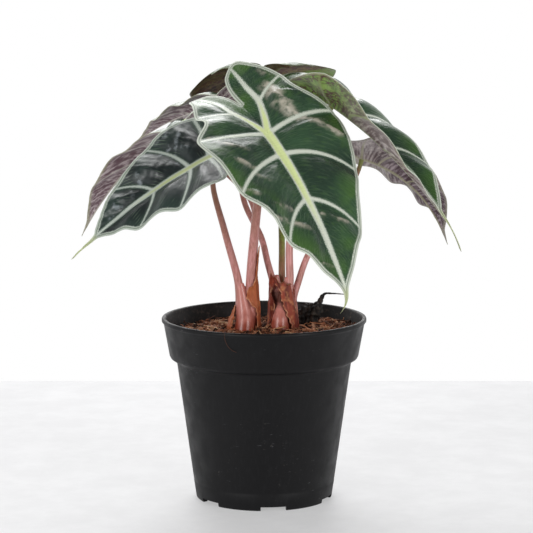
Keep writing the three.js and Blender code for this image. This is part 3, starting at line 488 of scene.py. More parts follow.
# Welts of the two nearest leaves, steep towards the back, where the softbox's highlights are painted as a
# pale sheen: flat points, height and steep reach in millimetres
WELTS = {"front": [
    ([(-28, 20), (-21, 18.8), (-14, 18), (-7.5, 19.5), (-3, 22.5), (1.5, 27)], 2.3, 4.4),
    ([(4, 27), (9, 31), (15, 36.5)], 1.3, 2.8), ([(-5, -36), (0, -32), (6, -27), (10, -22)], 0.8, 1.9),
    ([(17, -30), (19.5, -25), (22.5, -20)], 0.8, 1.6), ([(34, -36.5), (37, -32), (40.5, -29)], 0.75, 1.5),
    ([(50, -24), (51.5, -18), (53, -13)], 0.8, 1.6),
    ([(58, -26), (60, -18), (62.5, -13), (66.5, -9)], 0.85, 1.8),
    ([(60, 4), (64.5, 9), (68.5, 16)], 0.9, 1.9), ([(89, -8), (91.6, -2.5)], 0.6, 1.4),
    ([(-38, 22), (-33, 25), (-30, 20)], 0.1, 2.6), ([(22, -22), (28, -21), (33, -18)], 0.1, 1.6),
], "left_front": [
    ([(20, -31), (12.8, -29)], 0.7, 2.4), ([(7.5, -25.5), (10.5, -22), (12.8, -18.5)], 0.8, 1.5),
    ([(22.5, -20.5), (16.5, -21)], 0.8, 1.7), ([(19, -15), (15.5, -14.5)], 0.6, 1.5),
    ([(19.3, -9.3), (14, -6.5)], 0.7, 2), ([(9.5, -15.5), (7, -13)], 0.5, 1.2),
    ([(38.8, -14), (40, -8.8)], 0.7, 2), ([(46.8, -8.5), (47, -3.5)], 0.5, 1.1),
    ([(58.5, -6), (56, -3.8)], 0.6, 1.7), ([(65, -3.2), (63, -2.6)], 0.4, 1.4),
]}
# The flat direction that their steep sides face, and how many times further their gentle sides reach
WELT_REAR = np.array([-1, 0.5])
WELT_LONG_REACH = 3.5
# How far a bay bulges, how high and how near the vein its shoulder stands, and how deep its puckers are
QUILT = 1.3
SHOULDER_RISE = 1.3
SHOULDER_REACH = 5
PUCKER = 0.12


def row_column(k, axis=None):
    """One value of every row, or one axis of a point."""
    values = np.array([row[k] for row in ROWS], float)
    return values if axis is None else values[:, axis]


def straight(values, u):
    return np.interp(u, np.arange(len(values)), values)


def smooth_curve(values, u):
    """Catmull-Rom through the row values, at rows u."""
    values = np.asarray(values, float)
    last = len(values) - 1
    i = np.clip(np.floor(u).astype(int), 0, last - 1)
    f = u - i
    a, b, c, d = (values[np.clip(i + k, 0, last)] for k in (-1, 0, 1, 2))
    curve = (2 * a - 5 * b + 4 * c - d) * f ** 2 + (3 * b - a - 3 * c + d) * f ** 3
    return 0.5 * (2 * b + (c - a) * f + curve)


def flat_row(leaf, u, t):
    """Flat place of the half blade at rows u and shares t out from the rib, in shares of the length."""
    place = []
    for axis in (0, 1):
        rib, bow, edge = (row_column(k, axis) for k in (0, 1, 2))
        if axis == 0:
            for column in (rib, bow, edge):
                column[0] += leaf["tip"] / leaf["length"]
        bow = np.where(u < 1, straight(bow, u), smooth_curve(bow, u))
        edge = np.where(u < 1, straight(edge, u), smooth_curve(edge, u))
        rib = straight(rib, u)
        place.append((1 - t) ** 2 * rib + 2 * t * (1 - t) * bow + t * t * edge)
    return np.stack(place, -1)


def inner_row(leaf, u, t):
    """The same from the lobe's rib to its inner margin."""
    rib = flat_row(leaf, u, np.zeros_like(t))
    margin = np.stack([smooth_curve(INNER_MARGIN[:, axis], u - JUNCTION_ROW) for axis in (0, 1)], -1)
    margin[..., 1] = np.maximum(0, margin[..., 1])
    return rib + (margin - rib) * t[..., None]


def arc(start, rate, length):
    """Integrates a direction that turns at a steady rate along a length."""
    rate = np.where(np.abs(rate) < 1e-9, 1e-9, rate)
    end = start + rate * length
    return (np.sin(end) - np.sin(start)) / rate, -(np.cos(end) - np.cos(start)) / rate


def blade_frame(leaf, x, y):
    """Where a flat point of the blade lies and which way is up there. Its y is left of the heading."""
    x, y = np.broadcast_arrays(np.asarray(x, float), np.asarray(y, float))
    length = leaf["length"]
    ahead, left = x >= 0, y >= 0
    bend = -np.radians(np.where(ahead, leaf["droop"], leaf["droop_back"])) / length
    slope = -math.radians(leaf["slope"])
    along, rise = arc(slope, bend, x)
    pitch = slope + bend * x
    tilt = np.radians(leaf["roll"] + np.where(ahead, leaf["twist"], leaf["twist_back"]) * x / length)
    nothing = np.zeros_like(x)
    up = np.stack([-np.sin(pitch), nothing, np.cos(pitch)], -1)
    across = np.stack([nothing, nothing + 1, nothing], -1)
    cos, sin = np.cos(tilt)[..., None], np.sin(tilt)[..., None]
    side, normal = across * cos + up * sin, up * cos - across * sin
    more_fold = np.where(ahead, leaf["fold_tip"], leaf["fold_back"]) * x / length
    fold = np.radians(np.where(left, *leaf["fold"]) + more_fold)
    cup = np.radians(np.where(left, *leaf["cup"])) / (length / 2)
    out, lift = arc(fold, -cup, np.abs(y))
    place = np.stack([along, nothing, rise], -1)
    place = place + side * (np.sign(y) * out)[..., None] + normal * lift[..., None]
    slack = np.maximum(0, x - 0.97 * length)
    turned = (fold - cup * np.abs(y))[..., None]
    upward = normal * np.cos(turned) - side * np.sign(y)[..., None] * np.sin(turned)
    c, s = math.cos(math.radians(leaf["heading"])), math.sin(math.radians(leaf["heading"]))
    turn = np.array([[c, -s, 0], [s, c, 0], [0, 0, 1]])
    hang = (slack ** 2 / (leaf["tip"] + 0.03 * length))[..., None] * np.array(leaf["sag"])
    return place @ turn.T + hang + np.array(leaf["junction"]), upward @ turn.T


def band_distance(points, lines):
    """Distance in millimetres from flat points to the nearest edge of the bands along some lines, negative
    inside. A line is its points and its half widths."""
    best = np.full(len(points), 1e3)
    for line, widths in lines:
        for a, b, wide, narrow in zip(line[:-1], line[1:], widths[:-1], widths[1:]):
            step = b - a
            share = np.clip(((points - a) @ step) / max(step @ step, 1e-9), 0, 1)
            gap = np.linalg.norm(points - (a + share[:, None] * step), axis=1)
            best = np.minimum(best, gap - (wide + (narrow - wide) * share))
    return best


# Half widths of the front leaf's ribs and veins at the junction, in millimetres, and each large blade's
# steps from row to row and from rib to margin
RIB_HALF_WIDTH = 3.5
LOBE_RIB_HALF_WIDTH = 2.52
VEIN_HALF_WIDTH = 1.75
FINENESS = {"front": (14, 46), "left_front": (12, 40), "right": (12, 40)}


def blade_points(leaf, fineness):
    """Flat points of the whole blade in shares of its length, with their rows, and its faces."""
    per_row, per_width = fineness
    outward = np.linspace(0, 1, per_width + 1) ** 1.12
    inward = np.linspace(0, 1, per_width // 3 + 1)
    flat, rows, faces = [], [], []
    for side in (1, -1):
        for first, columns, place, sign in ((0, outward, flat_row, 1), (JUNCTION_ROW, inward, inner_row, -1)):
            steps = np.linspace(first, LAST_ROW, (LAST_ROW - first) * per_row + 1)
            u, t = np.meshgrid(steps, columns, indexing="ij")
            points = place(leaf, u, t) * np.array([1, side])
            base = sum(len(f) for f in flat)
            flat.append(points.reshape(-1, 2))
            rows.append(np.stack([u, sign * t], -1).reshape(-1, 2))
            quads = grid_quads(base + np.arange(u.size).reshape(u.shape)).reshape(-1, 4)
            faces.append(quads if side * sign > 0 else quads[:, ::-1])
    flat, rows, faces = np.concatenate(flat), np.concatenate(rows), np.concatenate(faces)
    key = np.round(flat, 5) + 0.0
    _, first, weld = np.unique(key, axis=0, return_index=True, return_inverse=True)
    return flat[first], rows[first], weld.reshape(-1)[faces]


def clean_faces(quads):
    """Quads without repeated corners, as triangles where a corner is shared, and none where two are."""
    kept = []
    for face in quads:
        corners = [int(k) for i, k in enumerate(face) if k != face[i - 1]]
        if len(set(corners)) == len(corners) and len(corners) > 2:
            kept.append(corners)
    return kept


def new_attribute(mesh, name, values):
    mesh.attributes.new(name, "FLOAT", "POINT").data.foreach_set("value", np.asarray(values, np.float32))


# Ribs and veins stand out low above and full underneath. The blade's half thickness goes from its margin's
# to its full one over some millimetres.
RIB_RISE = (0.5, 1.45)
VEIN_RISE = (0.3, 0.8)
EDGE_HALF = 0.14
BLADE_HALF = 0.35
THINNING = 2.5


def blade_lines(leaf):
    """Lines with half widths, in the half blade laid flat: its ribs, its side veins and its margins."""
    length = leaf["length"]
    stretch = np.array([length, length * leaf["width"]])
    size = (length / LEAVES["front"]["length"]) ** 0.8
    midrib = np.linspace(0, 1, 24)
    lobe = np.linspace(JUNCTION_ROW, LAST_ROW - 0.35, 12)
    out = np.linspace(0, 0.965, 16)
    lobe_share = (lobe - lobe[0]) / (LAST_ROW - lobe[0])
    ribs = []
    for line, share, width in [
        (np.stack([midrib * length, midrib * 0], 1), midrib, RIB_HALF_WIDTH),
        (flat_row(leaf, lobe, lobe * 0) * stretch, lobe_share, LOBE_RIB_HALF_WIDTH),
    ]:
        ribs.append((line, width * size * (0.22 + 0.78 * (1 - share) ** 0.8)))
    veins = [(flat_row(leaf, np.full(16, float(row)), out) * stretch,
              VEIN_HALF_WIDTH * size * ROWS[row][5] * (1 - 0.5 * out)) for row in VEIN_ROWS]
    margins = []
    for place, first, count in ((flat_row, 0, 140), (inner_row, JUNCTION_ROW + 2, 40)):
        rows = np.linspace(first, LAST_ROW, count)
        margins.append((place(leaf, rows, np.ones(count)) * stretch, np.zeros(count)))
    return ribs, veins, margins


def blade_welts(name, flat):
    """How high the welts stand at flat points, and how strong the painted sheen, a painted highlight, is
    along them.
    """
    welts, bloom = np.zeros(len(flat)), np.zeros(len(flat))
    for line, height, reach in WELTS.get(name, []):
        line = np.array(line, float)
        for a, b in zip(line[:-1], line[1:]):
            share = np.clip(((flat - a) @ (b - a)) / ((b - a) @ (b - a)), 0, 1)
            offset = flat - (a + share[:, None] * (b - a))
            gap, behind = np.hypot(*offset.T), offset @ WELT_REAR > 0
            rise = 1 - gap / np.where(behind, reach, WELT_LONG_REACH * reach)
            welts = np.maximum(welts, height * np.clip(rise, 0, 1) ** 1.3)
            # Painted highlight: a share of pale sheen along each welt, reaching further on its gentle side
            film = 1 - gap / np.where(behind, 0.95 * reach, 1 + 1.7 * reach)
            bloom = np.maximum(bloom, film * (0.45 + 0.55 * min(1, height / 1.3)))
    return welts, bloom


def blade_relief(leaf, x, y, u, t, nearest):
    """How far the blade's middle stands off its bent sheet, and how much of a bay each point is. The margin
    waves, and the bays rise steeply beside the ribs and veins, bulge, and are puckered and lumpy."""
    puff, out = leaf["puff"], np.abs(t)
    arch = np.sin(np.pi * np.clip(out, 0, 1))
    outer = np.where(t >= 0, 1.0, 0.0)
    quiet = np.where(y * leaf.get("calm", 0) > 0, 0.2, 1)
    bay = np.clip(nearest / 6, 0, 1)
    shoulder = SHOULDER_RISE * puff * (0.6 - np.exp(-(nearest / SHOULDER_REACH) ** 2)) * (1 - 0.5 * out)
    wave = smooth_curve(row_column(3), u) * leaf["wave"] * out ** WAVE_REACH * outer
    bulge = smooth_curve(row_column(4), u) * QUILT * arch * outer
    ripple = np.sin(u * 7.5 + 2.2 * out) + 0.8 * np.sin(u * 3.1 + 6.5 * out + y * 0.11)
    pucker = PUCKER * puff ** 2 * bay * ripple * arch * outer * quiet
    lumps = np.sin(x * 0.95 + 1.3 * np.sin(y * 0.31)) * np.sin(y * 0.8 + 0.06 * x)
    lumps = PUCKER * (puff ** 2 - 0.7) * bay * lumps * quiet
    return wave + bulge + shoulder + pucker + lumps, bay


def sheet_normals(points, quads):
    """The upward directions at the points of a sheet of quads."""
    across = np.cross(points[quads[:, 2]] - points[quads[:, 0]], points[quads[:, 3]] - points[quads[:, 1]])
    normals = np.zeros_like(points)
    for k in range(4):
        np.add.at(normals, quads[:, k], across)
    return normals / np.maximum(np.linalg.norm(normals, axis=1), 1e-9)[:, None]


def shell_faces(faces, count):
    """The faces of a closed shell whose underside repeats its upper points: top, underside and rim."""
    edges = {(a, b): True for face in faces for a, b in zip(face, face[1:] + face[:1])}
    rim = [[b, a, a + count, b + count] for a, b in edges if (b, a) not in edges]
    return faces + [[k + count for k in reversed(face)] for face in faces] + rim


def build_blade(name, leaf):
    """One blade as a closed shell with all that its skins read, dressed as its node."""
    flat, rows, quads = blade_points(leaf, FINENESS.get(name, (9, 32)))
    length = leaf["length"]
    x, y = flat[:, 0] * length, flat[:, 1] * length * leaf["width"]
    u, t = rows[:, 0], rows[:, 1]
    half_flat = np.stack([x, np.abs(y)], 1)
    rib_gap, vein_gap, margin_gap = (band_distance(half_flat, lines) for lines in blade_lines(leaf))

    # The middle surface, whose directions are eased along the midrib, and the upper and the lower skin
    place, upward = blade_frame(leaf, x, y)
    welts, bloom = blade_welts(name, np.stack([x, y], 1))
    relief, bay = blade_relief(leaf, x, y, u, t, np.maximum(np.minimum(rib_gap, vein_gap), 0))
    middle = place + upward * (relief + welts * bay)[:, None]
    faces = clean_faces(quads)
    normal = sheet_normals(middle, np.array([f if len(f) == 4 else f + [f[-1]] for f in faces]))
    near = 1 - np.clip(np.abs(y) / RIB_HALF_WIDTH, 0, 1)
    near = (near * near * (3 - 2 * near))[:, None]
    normal = normal * (1 - near) + blade_frame(leaf, x, y * 0)[1] * near
    normal /= np.linalg.norm(normal, axis=1)[:, None]
    half = EDGE_HALF + (BLADE_HALF - EDGE_HALF) * np.clip(margin_gap / THINNING, 0, 1)
    rib = np.exp(-(np.maximum(rib_gap + 0.6, 0) / 1.1) ** 2) * (1 - 0.85 * np.clip(x / length, 0, 1))
    vein = np.exp(-(np.maximum(vein_gap + 0.6, 0) / 0.7) ** 2) * (1 - 0.7 * np.clip(np.abs(t), 0, 1))
    above, below = (half + np.maximum(rise * rib, fall * vein) for rise, fall in zip(RIB_RISE, VEIN_RISE))
    skins = np.concatenate([middle + normal * above[:, None], middle - normal * below[:, None]])

    shell = shell_faces(faces, len(middle))
    piece = new_piece("leaf_" + name, skins * MM, shell, blade_upper[UPPER_SIDES.get(name, "green")])
    piece.data.materials.append(blade_under[UNDER_SIDES.get(name, "purple")])
    rim_skin = 0 if name in FINENESS else 1
    skin = [0] * len(faces) + [1] * len(faces) + [rim_skin] * (len(shell) - 2 * len(faces))
    piece.data.polygons.foreach_set("material_index", skin)
    core = np.clip(1 - np.hypot(x / (0.72 * length), y / (0.1 * length)), 0, 1)
    for label, values in zip(BLADE_LAY, (rib_gap, vein_gap, margin_gap, core, bloom, u, t)):
        new_attribute(piece.data, label, np.tile(values, 2))
    corner = np.zeros(len(piece.data.loops), int)
    piece.data.loops.foreach_get("vertex_index", corner)
    laid_flat = np.tile(np.stack([x, y], 1) / 100, (2, 1))[corner]
    piece.data.uv_layers.new(name="flat").data.foreach_set("uv", laid_flat.astype(np.float32).ravel())
    dress(piece, "blade", "blade_" + name)


# What a blade's skins read at each point: millimetres from the ribs, veins and margin, the share of the
# midrib's yellow heart and of the painted sheen, and the place by row and by share out from the rib
BLADE_LAY = ("rib_gap", "vein_gap", "margin_gap", "core", "bloom", "row", "out")


def blade_patterns(tree, stretch, size, detail, grit):
    """What a blade's skin reads: its lay, its flat place and streaks that follow its side veins."""
    lay = {name: add_node(tree, "Attribute", attribute_name=name)["Fac"] for name in BLADE_LAY}
    flat_place = add_node(tree, "UVMap", uv_map="flat")[0]
    rows = add_node(tree, "CombineXYZ", lay["row"], lay["out"])[0]
    rows = add_node(tree, "VectorMath", rows, stretch, operation="MULTIPLY")[0]
    streaks = {"Vector": rows, "Scale": size, "Detail": detail, "Roughness": grit}
    return lay, flat_place, add_node(tree, "TexNoise", streaks)[0]


# Upper skin: living leaf under a wax coat, smooth and glossy, dark green with fresher patches near the
# margin, and nearly black on the youngest leaf. Veins and margin are pale silvery bands with feathered
# edges, yellow green at the midrib's heart, and a pale sheen is painted along the welts as their highlight.
UPPER_SIDES = {"left_front": "dark", "rear": "aged"}
UPPER_SKINS = {
    "green": dict(deep="#263a2c", mid="#355138", fresh="#47692f", shine=0.22, crimp=0.8, swell=0.9, lines=0.2,
                  vein_edge="#b9c2b3", vein="#d7dccd", heart="#d8e4a2", rim="#ced4c6",
                  film="#b4ae9e", film_size=6, film_least=0.25, film_share=0.95),
    "aged": dict(deep="#243527", mid="#334b35", fresh="#476b2f", shine=0.42, crimp=0.8, swell=0.9, lines=0.4,
                 vein_edge="#8f9a80", vein="#b2bb9c", heart="#b9c687", rim="#5d6a44",
                 film="#b4ae9e", film_size=6, film_least=0.25, film_share=0.95),
    "dark": dict(deep="#121a1b", mid="#222e2d", fresh="#293b34", shine=0.35, crimp=0.15, swell=1.3, lines=0.4,
                 vein_edge="#98a49b", vein="#c2cabf", heart="#bcc692", rim="#b7c0b4",
                 film="#8f979b", film_size=3.2, film_least=0.1, film_share=0.75),
}
blade_upper = {}
for kind, skin in UPPER_SKINS.items():
    name = "waxy %s leaf skin" % kind
    blade_upper[kind], tree, place = new_material(name, IOR=1.48, Specular_IOR_Level=0.5)
    lay, flat_place, streaks = blade_patterns(tree, (4.5, 3, 0), 2.2, 1.5, 0.5)
    hair = {"Vector": flat_place, "Scale": 210.0, "Detail": 2.0, "Roughness": 0.6}
    hair = add_node(tree, "TexNoise", hair)[0]
    feathered = add_node(tree, "Math", hair, 3.3, -1.65, operation="MULTIPLY_ADD")[0]
    rib_gap = add_node(tree, "Math", lay["rib_gap"], feathered, operation="ADD")[0]
    vein_gap = add_node(tree, "Math", lay["vein_gap"], feathered, operation="ADD")[0]
    pale_gap = add_node(tree, "Math", rib_gap, vein_gap, 1.6, operation="SMOOTH_MIN")[0]
    rim_gap = add_node(tree, "Math", feathered, 0.9, lay["margin_gap"], operation="MULTIPLY_ADD")[0]

    # The ground between the veins, its fine secondary veins and the painted sheen, a painted highlight along
    # the welts
    ground = paint(tree, skin["deep"], skin["mid"], patches(tree, place, 26, 3, 0.35, 0.68))
    edgeward = (lay["margin_gap"], 16, 2.5)
    ground = paint(tree, ground, skin["fresh"], edgeward, patches(tree, place, 17, 2, 0.4, 0.6), 0.75)
    ground = paint(tree, ground, skin["fresh"], (streaks, 0.5, 0.75, 0, 0.3))
    wavy_row = add_node(tree, "Math", lay["out"], 0.8, lay["row"], operation="MULTIPLY_ADD")[0]
    wavy_rows = add_node(tree, "CombineXYZ", wavy_row, lay["out"])[0]
    waves = {"Vector": wavy_rows, "Scale": 1.7, "Distortion": 1.6, "Detail": 2.0, "Detail Scale": 2.0}
    lines = add_node(tree, "TexWave", waves, wave_type="BANDS", bands_direction="X")["Fac"]
    lines = (lines, 0.9, 1.0)
    ground = paint(tree, ground, "#8ea38a", lines, patches(tree, place, 8, 2, 0.45, 0.7), skin["lines"])
    halo = (pale_gap, 1.7, -0.2)
    ground = paint(tree, ground, "#5f7a62", halo, 0.25)
    # Painted highlight: pale cloudy patches along the welts, in each skin's sheen tone, stand in for the
    # softbox's glints
    cloudy = patches(tree, place, skin["film_size"], 4, 0.34, 0.64, skin["film_least"], 1.35, 0.55)
    film = add_node(tree, "Math", lay["bloom"], cloudy, operation="MULTIPLY")[0]
    film = (film, 0.08, 1.1, 0, skin["film_share"])
    ground = paint(tree, ground, skin["film"], film)

    # The pale bands of the ribs and veins, the margin with its groove, and the drip tip
    heartward = add_node(tree, "MapRange", rib_gap, -0.4, -1.6, **SMOOTH)[0]
    heart = add_node(tree, "Math", lay["core"], heartward, operation="MULTIPLY")[0]
    pale = paint(tree, skin["vein_edge"], skin["vein"], (pale_gap, 0.1, -1.1))
    pale = paint(tree, pale, skin["heart"], (heart, 0.03, 0.55))
    surface = paint(tree, ground, pale, (pale_gap, 0.3, -0.3))
    margin = add_node(tree, "MapRange", rim_gap, 2.6, 1.8, **SMOOTH)[0]
    outward = (lay["margin_gap"], 0.7, 1.1)
    inward = (lay["margin_gap"], 1.7, 1.3)
    edge_tone = paint(tree, skin["rim"], "#5c6b58", outward, inward, 0.75)
    surface = paint(tree, surface, edge_tone, margin, 0.9)
    surface = paint(tree, surface, "#b3bb84", (lay["row"], 1.6, 0.6, 0, 0.8))
    gloss = {1: 0.3, 2: 0.7, 3: skin["shine"], 4: skin["shine"] + 0.1}
    gloss = add_node(tree, "MapRange", streaks, gloss, **SMOOTH)[0]
    gloss = add_node(tree, "Math", margin, 0.3, gloss, operation="MULTIPLY_ADD")[0]
    swell = add_node(tree, "TexNoise", {"Vector": place, "Scale": 1 / (5 * MM), "Detail": 1.0})[0]
    swell = add_node(tree, "Math", swell, skin["swell"], operation="MULTIPLY")[0]
    ridges = add_node(tree, "Math", streaks, skin["crimp"], swell, operation="MULTIPLY_ADD")[0]
    finish(tree, surface, gloss, ridges, 0.32, 0.7)

# Underside: living leaf without the wax, so duller. Purple grey with silvery veins, or maroon with a yellow
# green net and a green strip, or green with a maroon net, and always paler along the margin.
UNDER_SIDES = {"right": "netted", "rear": "maroon", "right_rear": "dusky"}
UNDER_SKINS = {
    "purple": dict(low="#6d575e", high="#bfb2b3", tip_low="#6d575e", tip_high="#cbbfc0", net="#54404a",
                   net_share=0.3, rib="#cbc8bb", edge="#a5a58c", edge_reach=3.2),
    "dusky": dict(low="#7d6e70", high="#cbc2bf", tip_low="#503f45", tip_high="#a3969b", net="#42323a",
                  net_share=0.3, rib="#a8a688", edge="#9a9688", edge_reach=3.2),
    "maroon": dict(low="#3a1f18", high="#5c362a", tip_low="#22100c", tip_high="#3b221b", net="#7c7440",
                   net_share=0.5, rib="#69683b", edge="#4a4a2a", edge_reach=2.2),
    "netted": dict(low="#54762f", high="#86a650", tip_low="#5a4945", tip_high="#b3a9a4", net="#4f2a2c",
                   net_share=0.95, rib="#84965a", edge="#a3a288", edge_reach=3.2),
}
blade_under = {}
for kind, skin in UNDER_SKINS.items():
    blade_under[kind], tree, place = new_material(
        kind + " leaf underside", IOR=1.42, Specular_IOR_Level=0.45, Roughness=0.4)
    lay, flat_place, streaks = blade_patterns(tree, (1.9, 1.3, 0), 3.0, 4.0, 0.6)
    wobble = add_node(tree, "TexNoise", {"Vector": flat_place, "Scale": 40.0, "Detail": 2.0})["Color"]
    bent = add_node(tree, "Mix", {0: 0.04, 4: flat_place, 5: wobble}, data_type="VECTOR")[1]
    cells = {"Vector": bent, "Scale": 30.0}
    cells = add_node(tree, "TexVoronoi", cells, feature="DISTANCE_TO_EDGE")[0]
    cells = add_node(tree, "MapRange", cells, 0.2, 0.03, **SMOOTH)[0]
    net = add_node(tree, "Math", cells, patches(tree, place, 12, 2, 0.33, 0.5), operation="MULTIPLY")[0]

    # The ground between the veins, with its net, and its other tones towards the tip. Its pale streaks are
    # partly the underside's own silvery tone and partly a painted satin sheen.
    ground = paint(tree, skin["low"], skin["high"], (streaks, 0.35, 0.65))
    ground = paint(tree, ground, skin["net"], net, skin["net_share"])
    silver_and_sheen = (streaks, 0.42, 0.68)
    tipward = add_node(tree, "Math", streaks, 3.0, lay["row"], operation="MULTIPLY_ADD")[0]
    tipward = (tipward, 10.2, 7.6)
    ground = paint(tree, ground, paint(tree, skin["tip_low"], skin["tip_high"], silver_and_sheen), tipward)
    if kind == "maroon":
        flat = add_node(tree, "SeparateXYZ", flat_place)
        strip = add_node(tree, "Math", flat[1], -0.9, flat[0], operation="MULTIPLY_ADD")[0]
        strip = add_node(tree, "Math", strip, 0.06, operation="SUBTRACT")[0]
        strip = add_node(tree, "Math", streaks, 0.12, strip, operation="MULTIPLY_ADD")[0]
        begin = (strip, 0.27, 0.31)
        end = (strip, 0.64, 0.5)
        netless = (net, 0.1, 0.9, 0.9, 0.45)
        ground = paint(tree, ground, "#6c8f3a", begin, end, netless)

    # The ribs and veins and the margin over it
    pale_gap = add_node(tree, "Math", lay["rib_gap"], lay["vein_gap"], operation="MINIMUM")[0]
    surface = paint(tree, ground, skin["rib"], (pale_gap, 0.1, -0.9), 0.8)
    rim_gap = add_node(tree, "Math", streaks, 2.0, lay["margin_gap"], operation="MULTIPLY_ADD")[0]
    margin = (rim_gap, skin["edge_reach"], 0.4 * skin["edge_reach"])
    finish(tree, paint(tree, surface, skin["edge"], margin, 0.75), None, streaks, 0.6, 0.5)

for name, leaf in LEAVES.items():
    build_blade(name, leaf)


# Stalks: smooth fleshy leaf stalks, pink brown and browner towards the blade. Each rises from its
# crown and meets its blade from underneath, inside the notch between the lobes.

# The heights in millimetres round which the stalks' feet stand upright in their crowns
CROWN_TOPS = {"left": 111, "right": 116}
# A stalk's crown, foot, radii at the foot, above it and at the blade, and the points it passes
STALKS = {
    "left_front": ("left", (-13.6, -1), (3.2, 2.3, 1.3),
                   [(-15, -1.5, 127.5), (-22.5, -11.5, 158), (-29, -31.5, 188.5)]),
    "front": ("left", (-8.1, 0.4), (3.3, 2.9, 1.8),
              [(-7.5, -1.5, 132), (-4, -13.5, 172.5), (-0.5, -29.5, 199)]),
    "left_rear": ("left", (-12, 6.7), (2.6, 1.8, 1.3),
                  [(-7.5, 5.5, 128), (-5.5, 2, 152), (-7, 0, 174), (-28, 4, 197)]),
    "upper_left": ("right", (7.5, 5.2), (2.2, 1.9, 1.4),
                   [(2, 9.5, 138), (-1.5, 17.5, 151), (-12, 33, 171.5), (-16, 45, 203)]),
    "rear": ("right", (11, 9.6), (2.1, 1.9, 1.5),
             [(10.5, 11.5, 130), (10.5, 20.5, 150.5), (8, 54, 194), (-0.5, 72.5, 225)]),
    "right": ("right", (13.4, 2.2), (2.5, 2.2, 1.6),
              [(15, 2.5, 126.5), (15, 4.5, 150), (22.5, 8.5, 193.5)]),
    "right_rear": ("right", (17.3, 6.8), (2.2, 1.9, 1.3),
                   [(20, 7.5, 126), (26, 11.5, 142), (47.5, 24.5, 173.5)]),
}
STALK_SIDES = 20
STALK_STEPS = 90
# The share of its length that a stalk's swollen foot takes, and how far below the blade's middle it turns
# square to the blade and ends, in millimetres
SWELL_END = 0.25
STALK_NECK = 9.15
STALK_END = 1.2


def centripetal(points, shares):
    """A smooth open curve through points, at shares of its length."""
    points = np.asarray(points, float)
    knots = np.concatenate([[2 * points[0] - points[1]], points, [2 * points[-1] - points[-2]]])
    samples = []
    for p0, p1, p2, p3 in zip(knots[:-3], knots[1:-2], knots[2:-1], knots[3:]):
        d0, d1, d2 = (max(np.linalg.norm(b - a) ** 0.5, 1e-4) for a, b in ((p0, p1), (p1, p2), (p2, p3)))
        m1 = (p1 - p0) / d0 - (p2 - p0) / (d0 + d1) + (p2 - p1) / d1
        m2 = (p2 - p1) / d1 - (p3 - p1) / (d1 + d2) + (p3 - p2) / d2
        m1, m2 = m1 * d1, m2 * d1
        f = np.linspace(0, 1, 30, endpoint=False)[:, None]
        samples.append((2 * f ** 3 - 3 * f ** 2 + 1) * p1 + (f ** 3 - 2 * f ** 2 + f) * m1
                       + (-2 * f ** 3 + 3 * f ** 2) * p2 + (f ** 3 - f ** 2) * m2)
    line = np.concatenate(samples + [points[-1:]])
    reach = np.concatenate([[0], np.cumsum(np.linalg.norm(np.diff(line, axis=0), axis=1))])
    at = np.asarray(shares) * reach[-1]
    return np.stack([np.interp(at, reach, line[:, k]) for k in range(3)], 1)


def tube(line, radii, sides):
    """Points and faces of a closed tube along a line, without twist. A radius may differ round the tube."""
    line = np.asarray(line, float)
    ahead = np.gradient(line, axis=0)
    ahead /= np.linalg.norm(ahead, axis=1)[:, None]
    sideways = np.array([1.0, 0, 0])
    turns = np.arange(sides) * 2 * np.pi / sides
    radii = np.broadcast_to(np.asarray(radii, float).reshape(len(line), -1), (len(line), sides))
    points = []
    for centre, direction, radius in zip(line, ahead, radii):
        sideways = sideways - direction * (sideways @ direction)
        sideways /= np.linalg.norm(sideways)
        other = np.cross(direction, sideways)
        around = np.cos(turns)[:, None] * sideways + np.sin(turns)[:, None] * other
        points.append(centre + radius[:, None] * around)
    points = np.concatenate(points + [line[:1], line[-1:]])
    return points, ring_faces(len(line), sides, 0, len(points) - 2, len(points) - 1)


# Stalk skin: smooth and a little waxy, pink and browner towards the blade with fine lengthwise streaks,
# or green on the oldest stalk, and yellow green where it meets its blade
stalk_skins = {}
for kind, foot_tone, middle_tone, top_tone, dark_tone in [
    ("pink", "#cf918c", "#cb8f8b", "#9a7158", "#9c6055"),
    ("green", "#94684e", "#7c9242", "#7a8643", "#6f6a38"),
]:
    stalk_skins[kind], tree, place = new_material(
        kind + " leaf stalk skin", IOR=1.45, Specular_IOR_Level=0.45, Roughness=0.4)
    along = add_node(tree, "Attribute", attribute_name="along")["Fac"]
    lengthwise = add_node(tree, "Mapping", {"Vector": place, "Scale": (1, 1, 0.07)})[0]
    tone = paint(tree, foot_tone, middle_tone, (along, 0.14, 0.3))
    tone = paint(tree, tone, top_tone, (along, 0.3, 0.85))
    tone = paint(tree, tone, dark_tone, patches(tree, lengthwise, 0.8, 3, 0.4, 0.7, 0, 0.6))
    tone = paint(tree, tone, "#8d6148", patches(tree, lengthwise, 2.6, 2, 0.42, 0.62, 0, 0.35))
    tone = paint(tree, tone, "#8f9658", (along, 0.9, 0.98))
    tone = paint(tree, tone, "#d7a79c", patches(tree, place, 0.8, 2, 0.66, 0.74, 0, 0.4))
    finish(tree, tone, None, (lengthwise, 0.5, 2, 0.5), 0.3, 0.15)

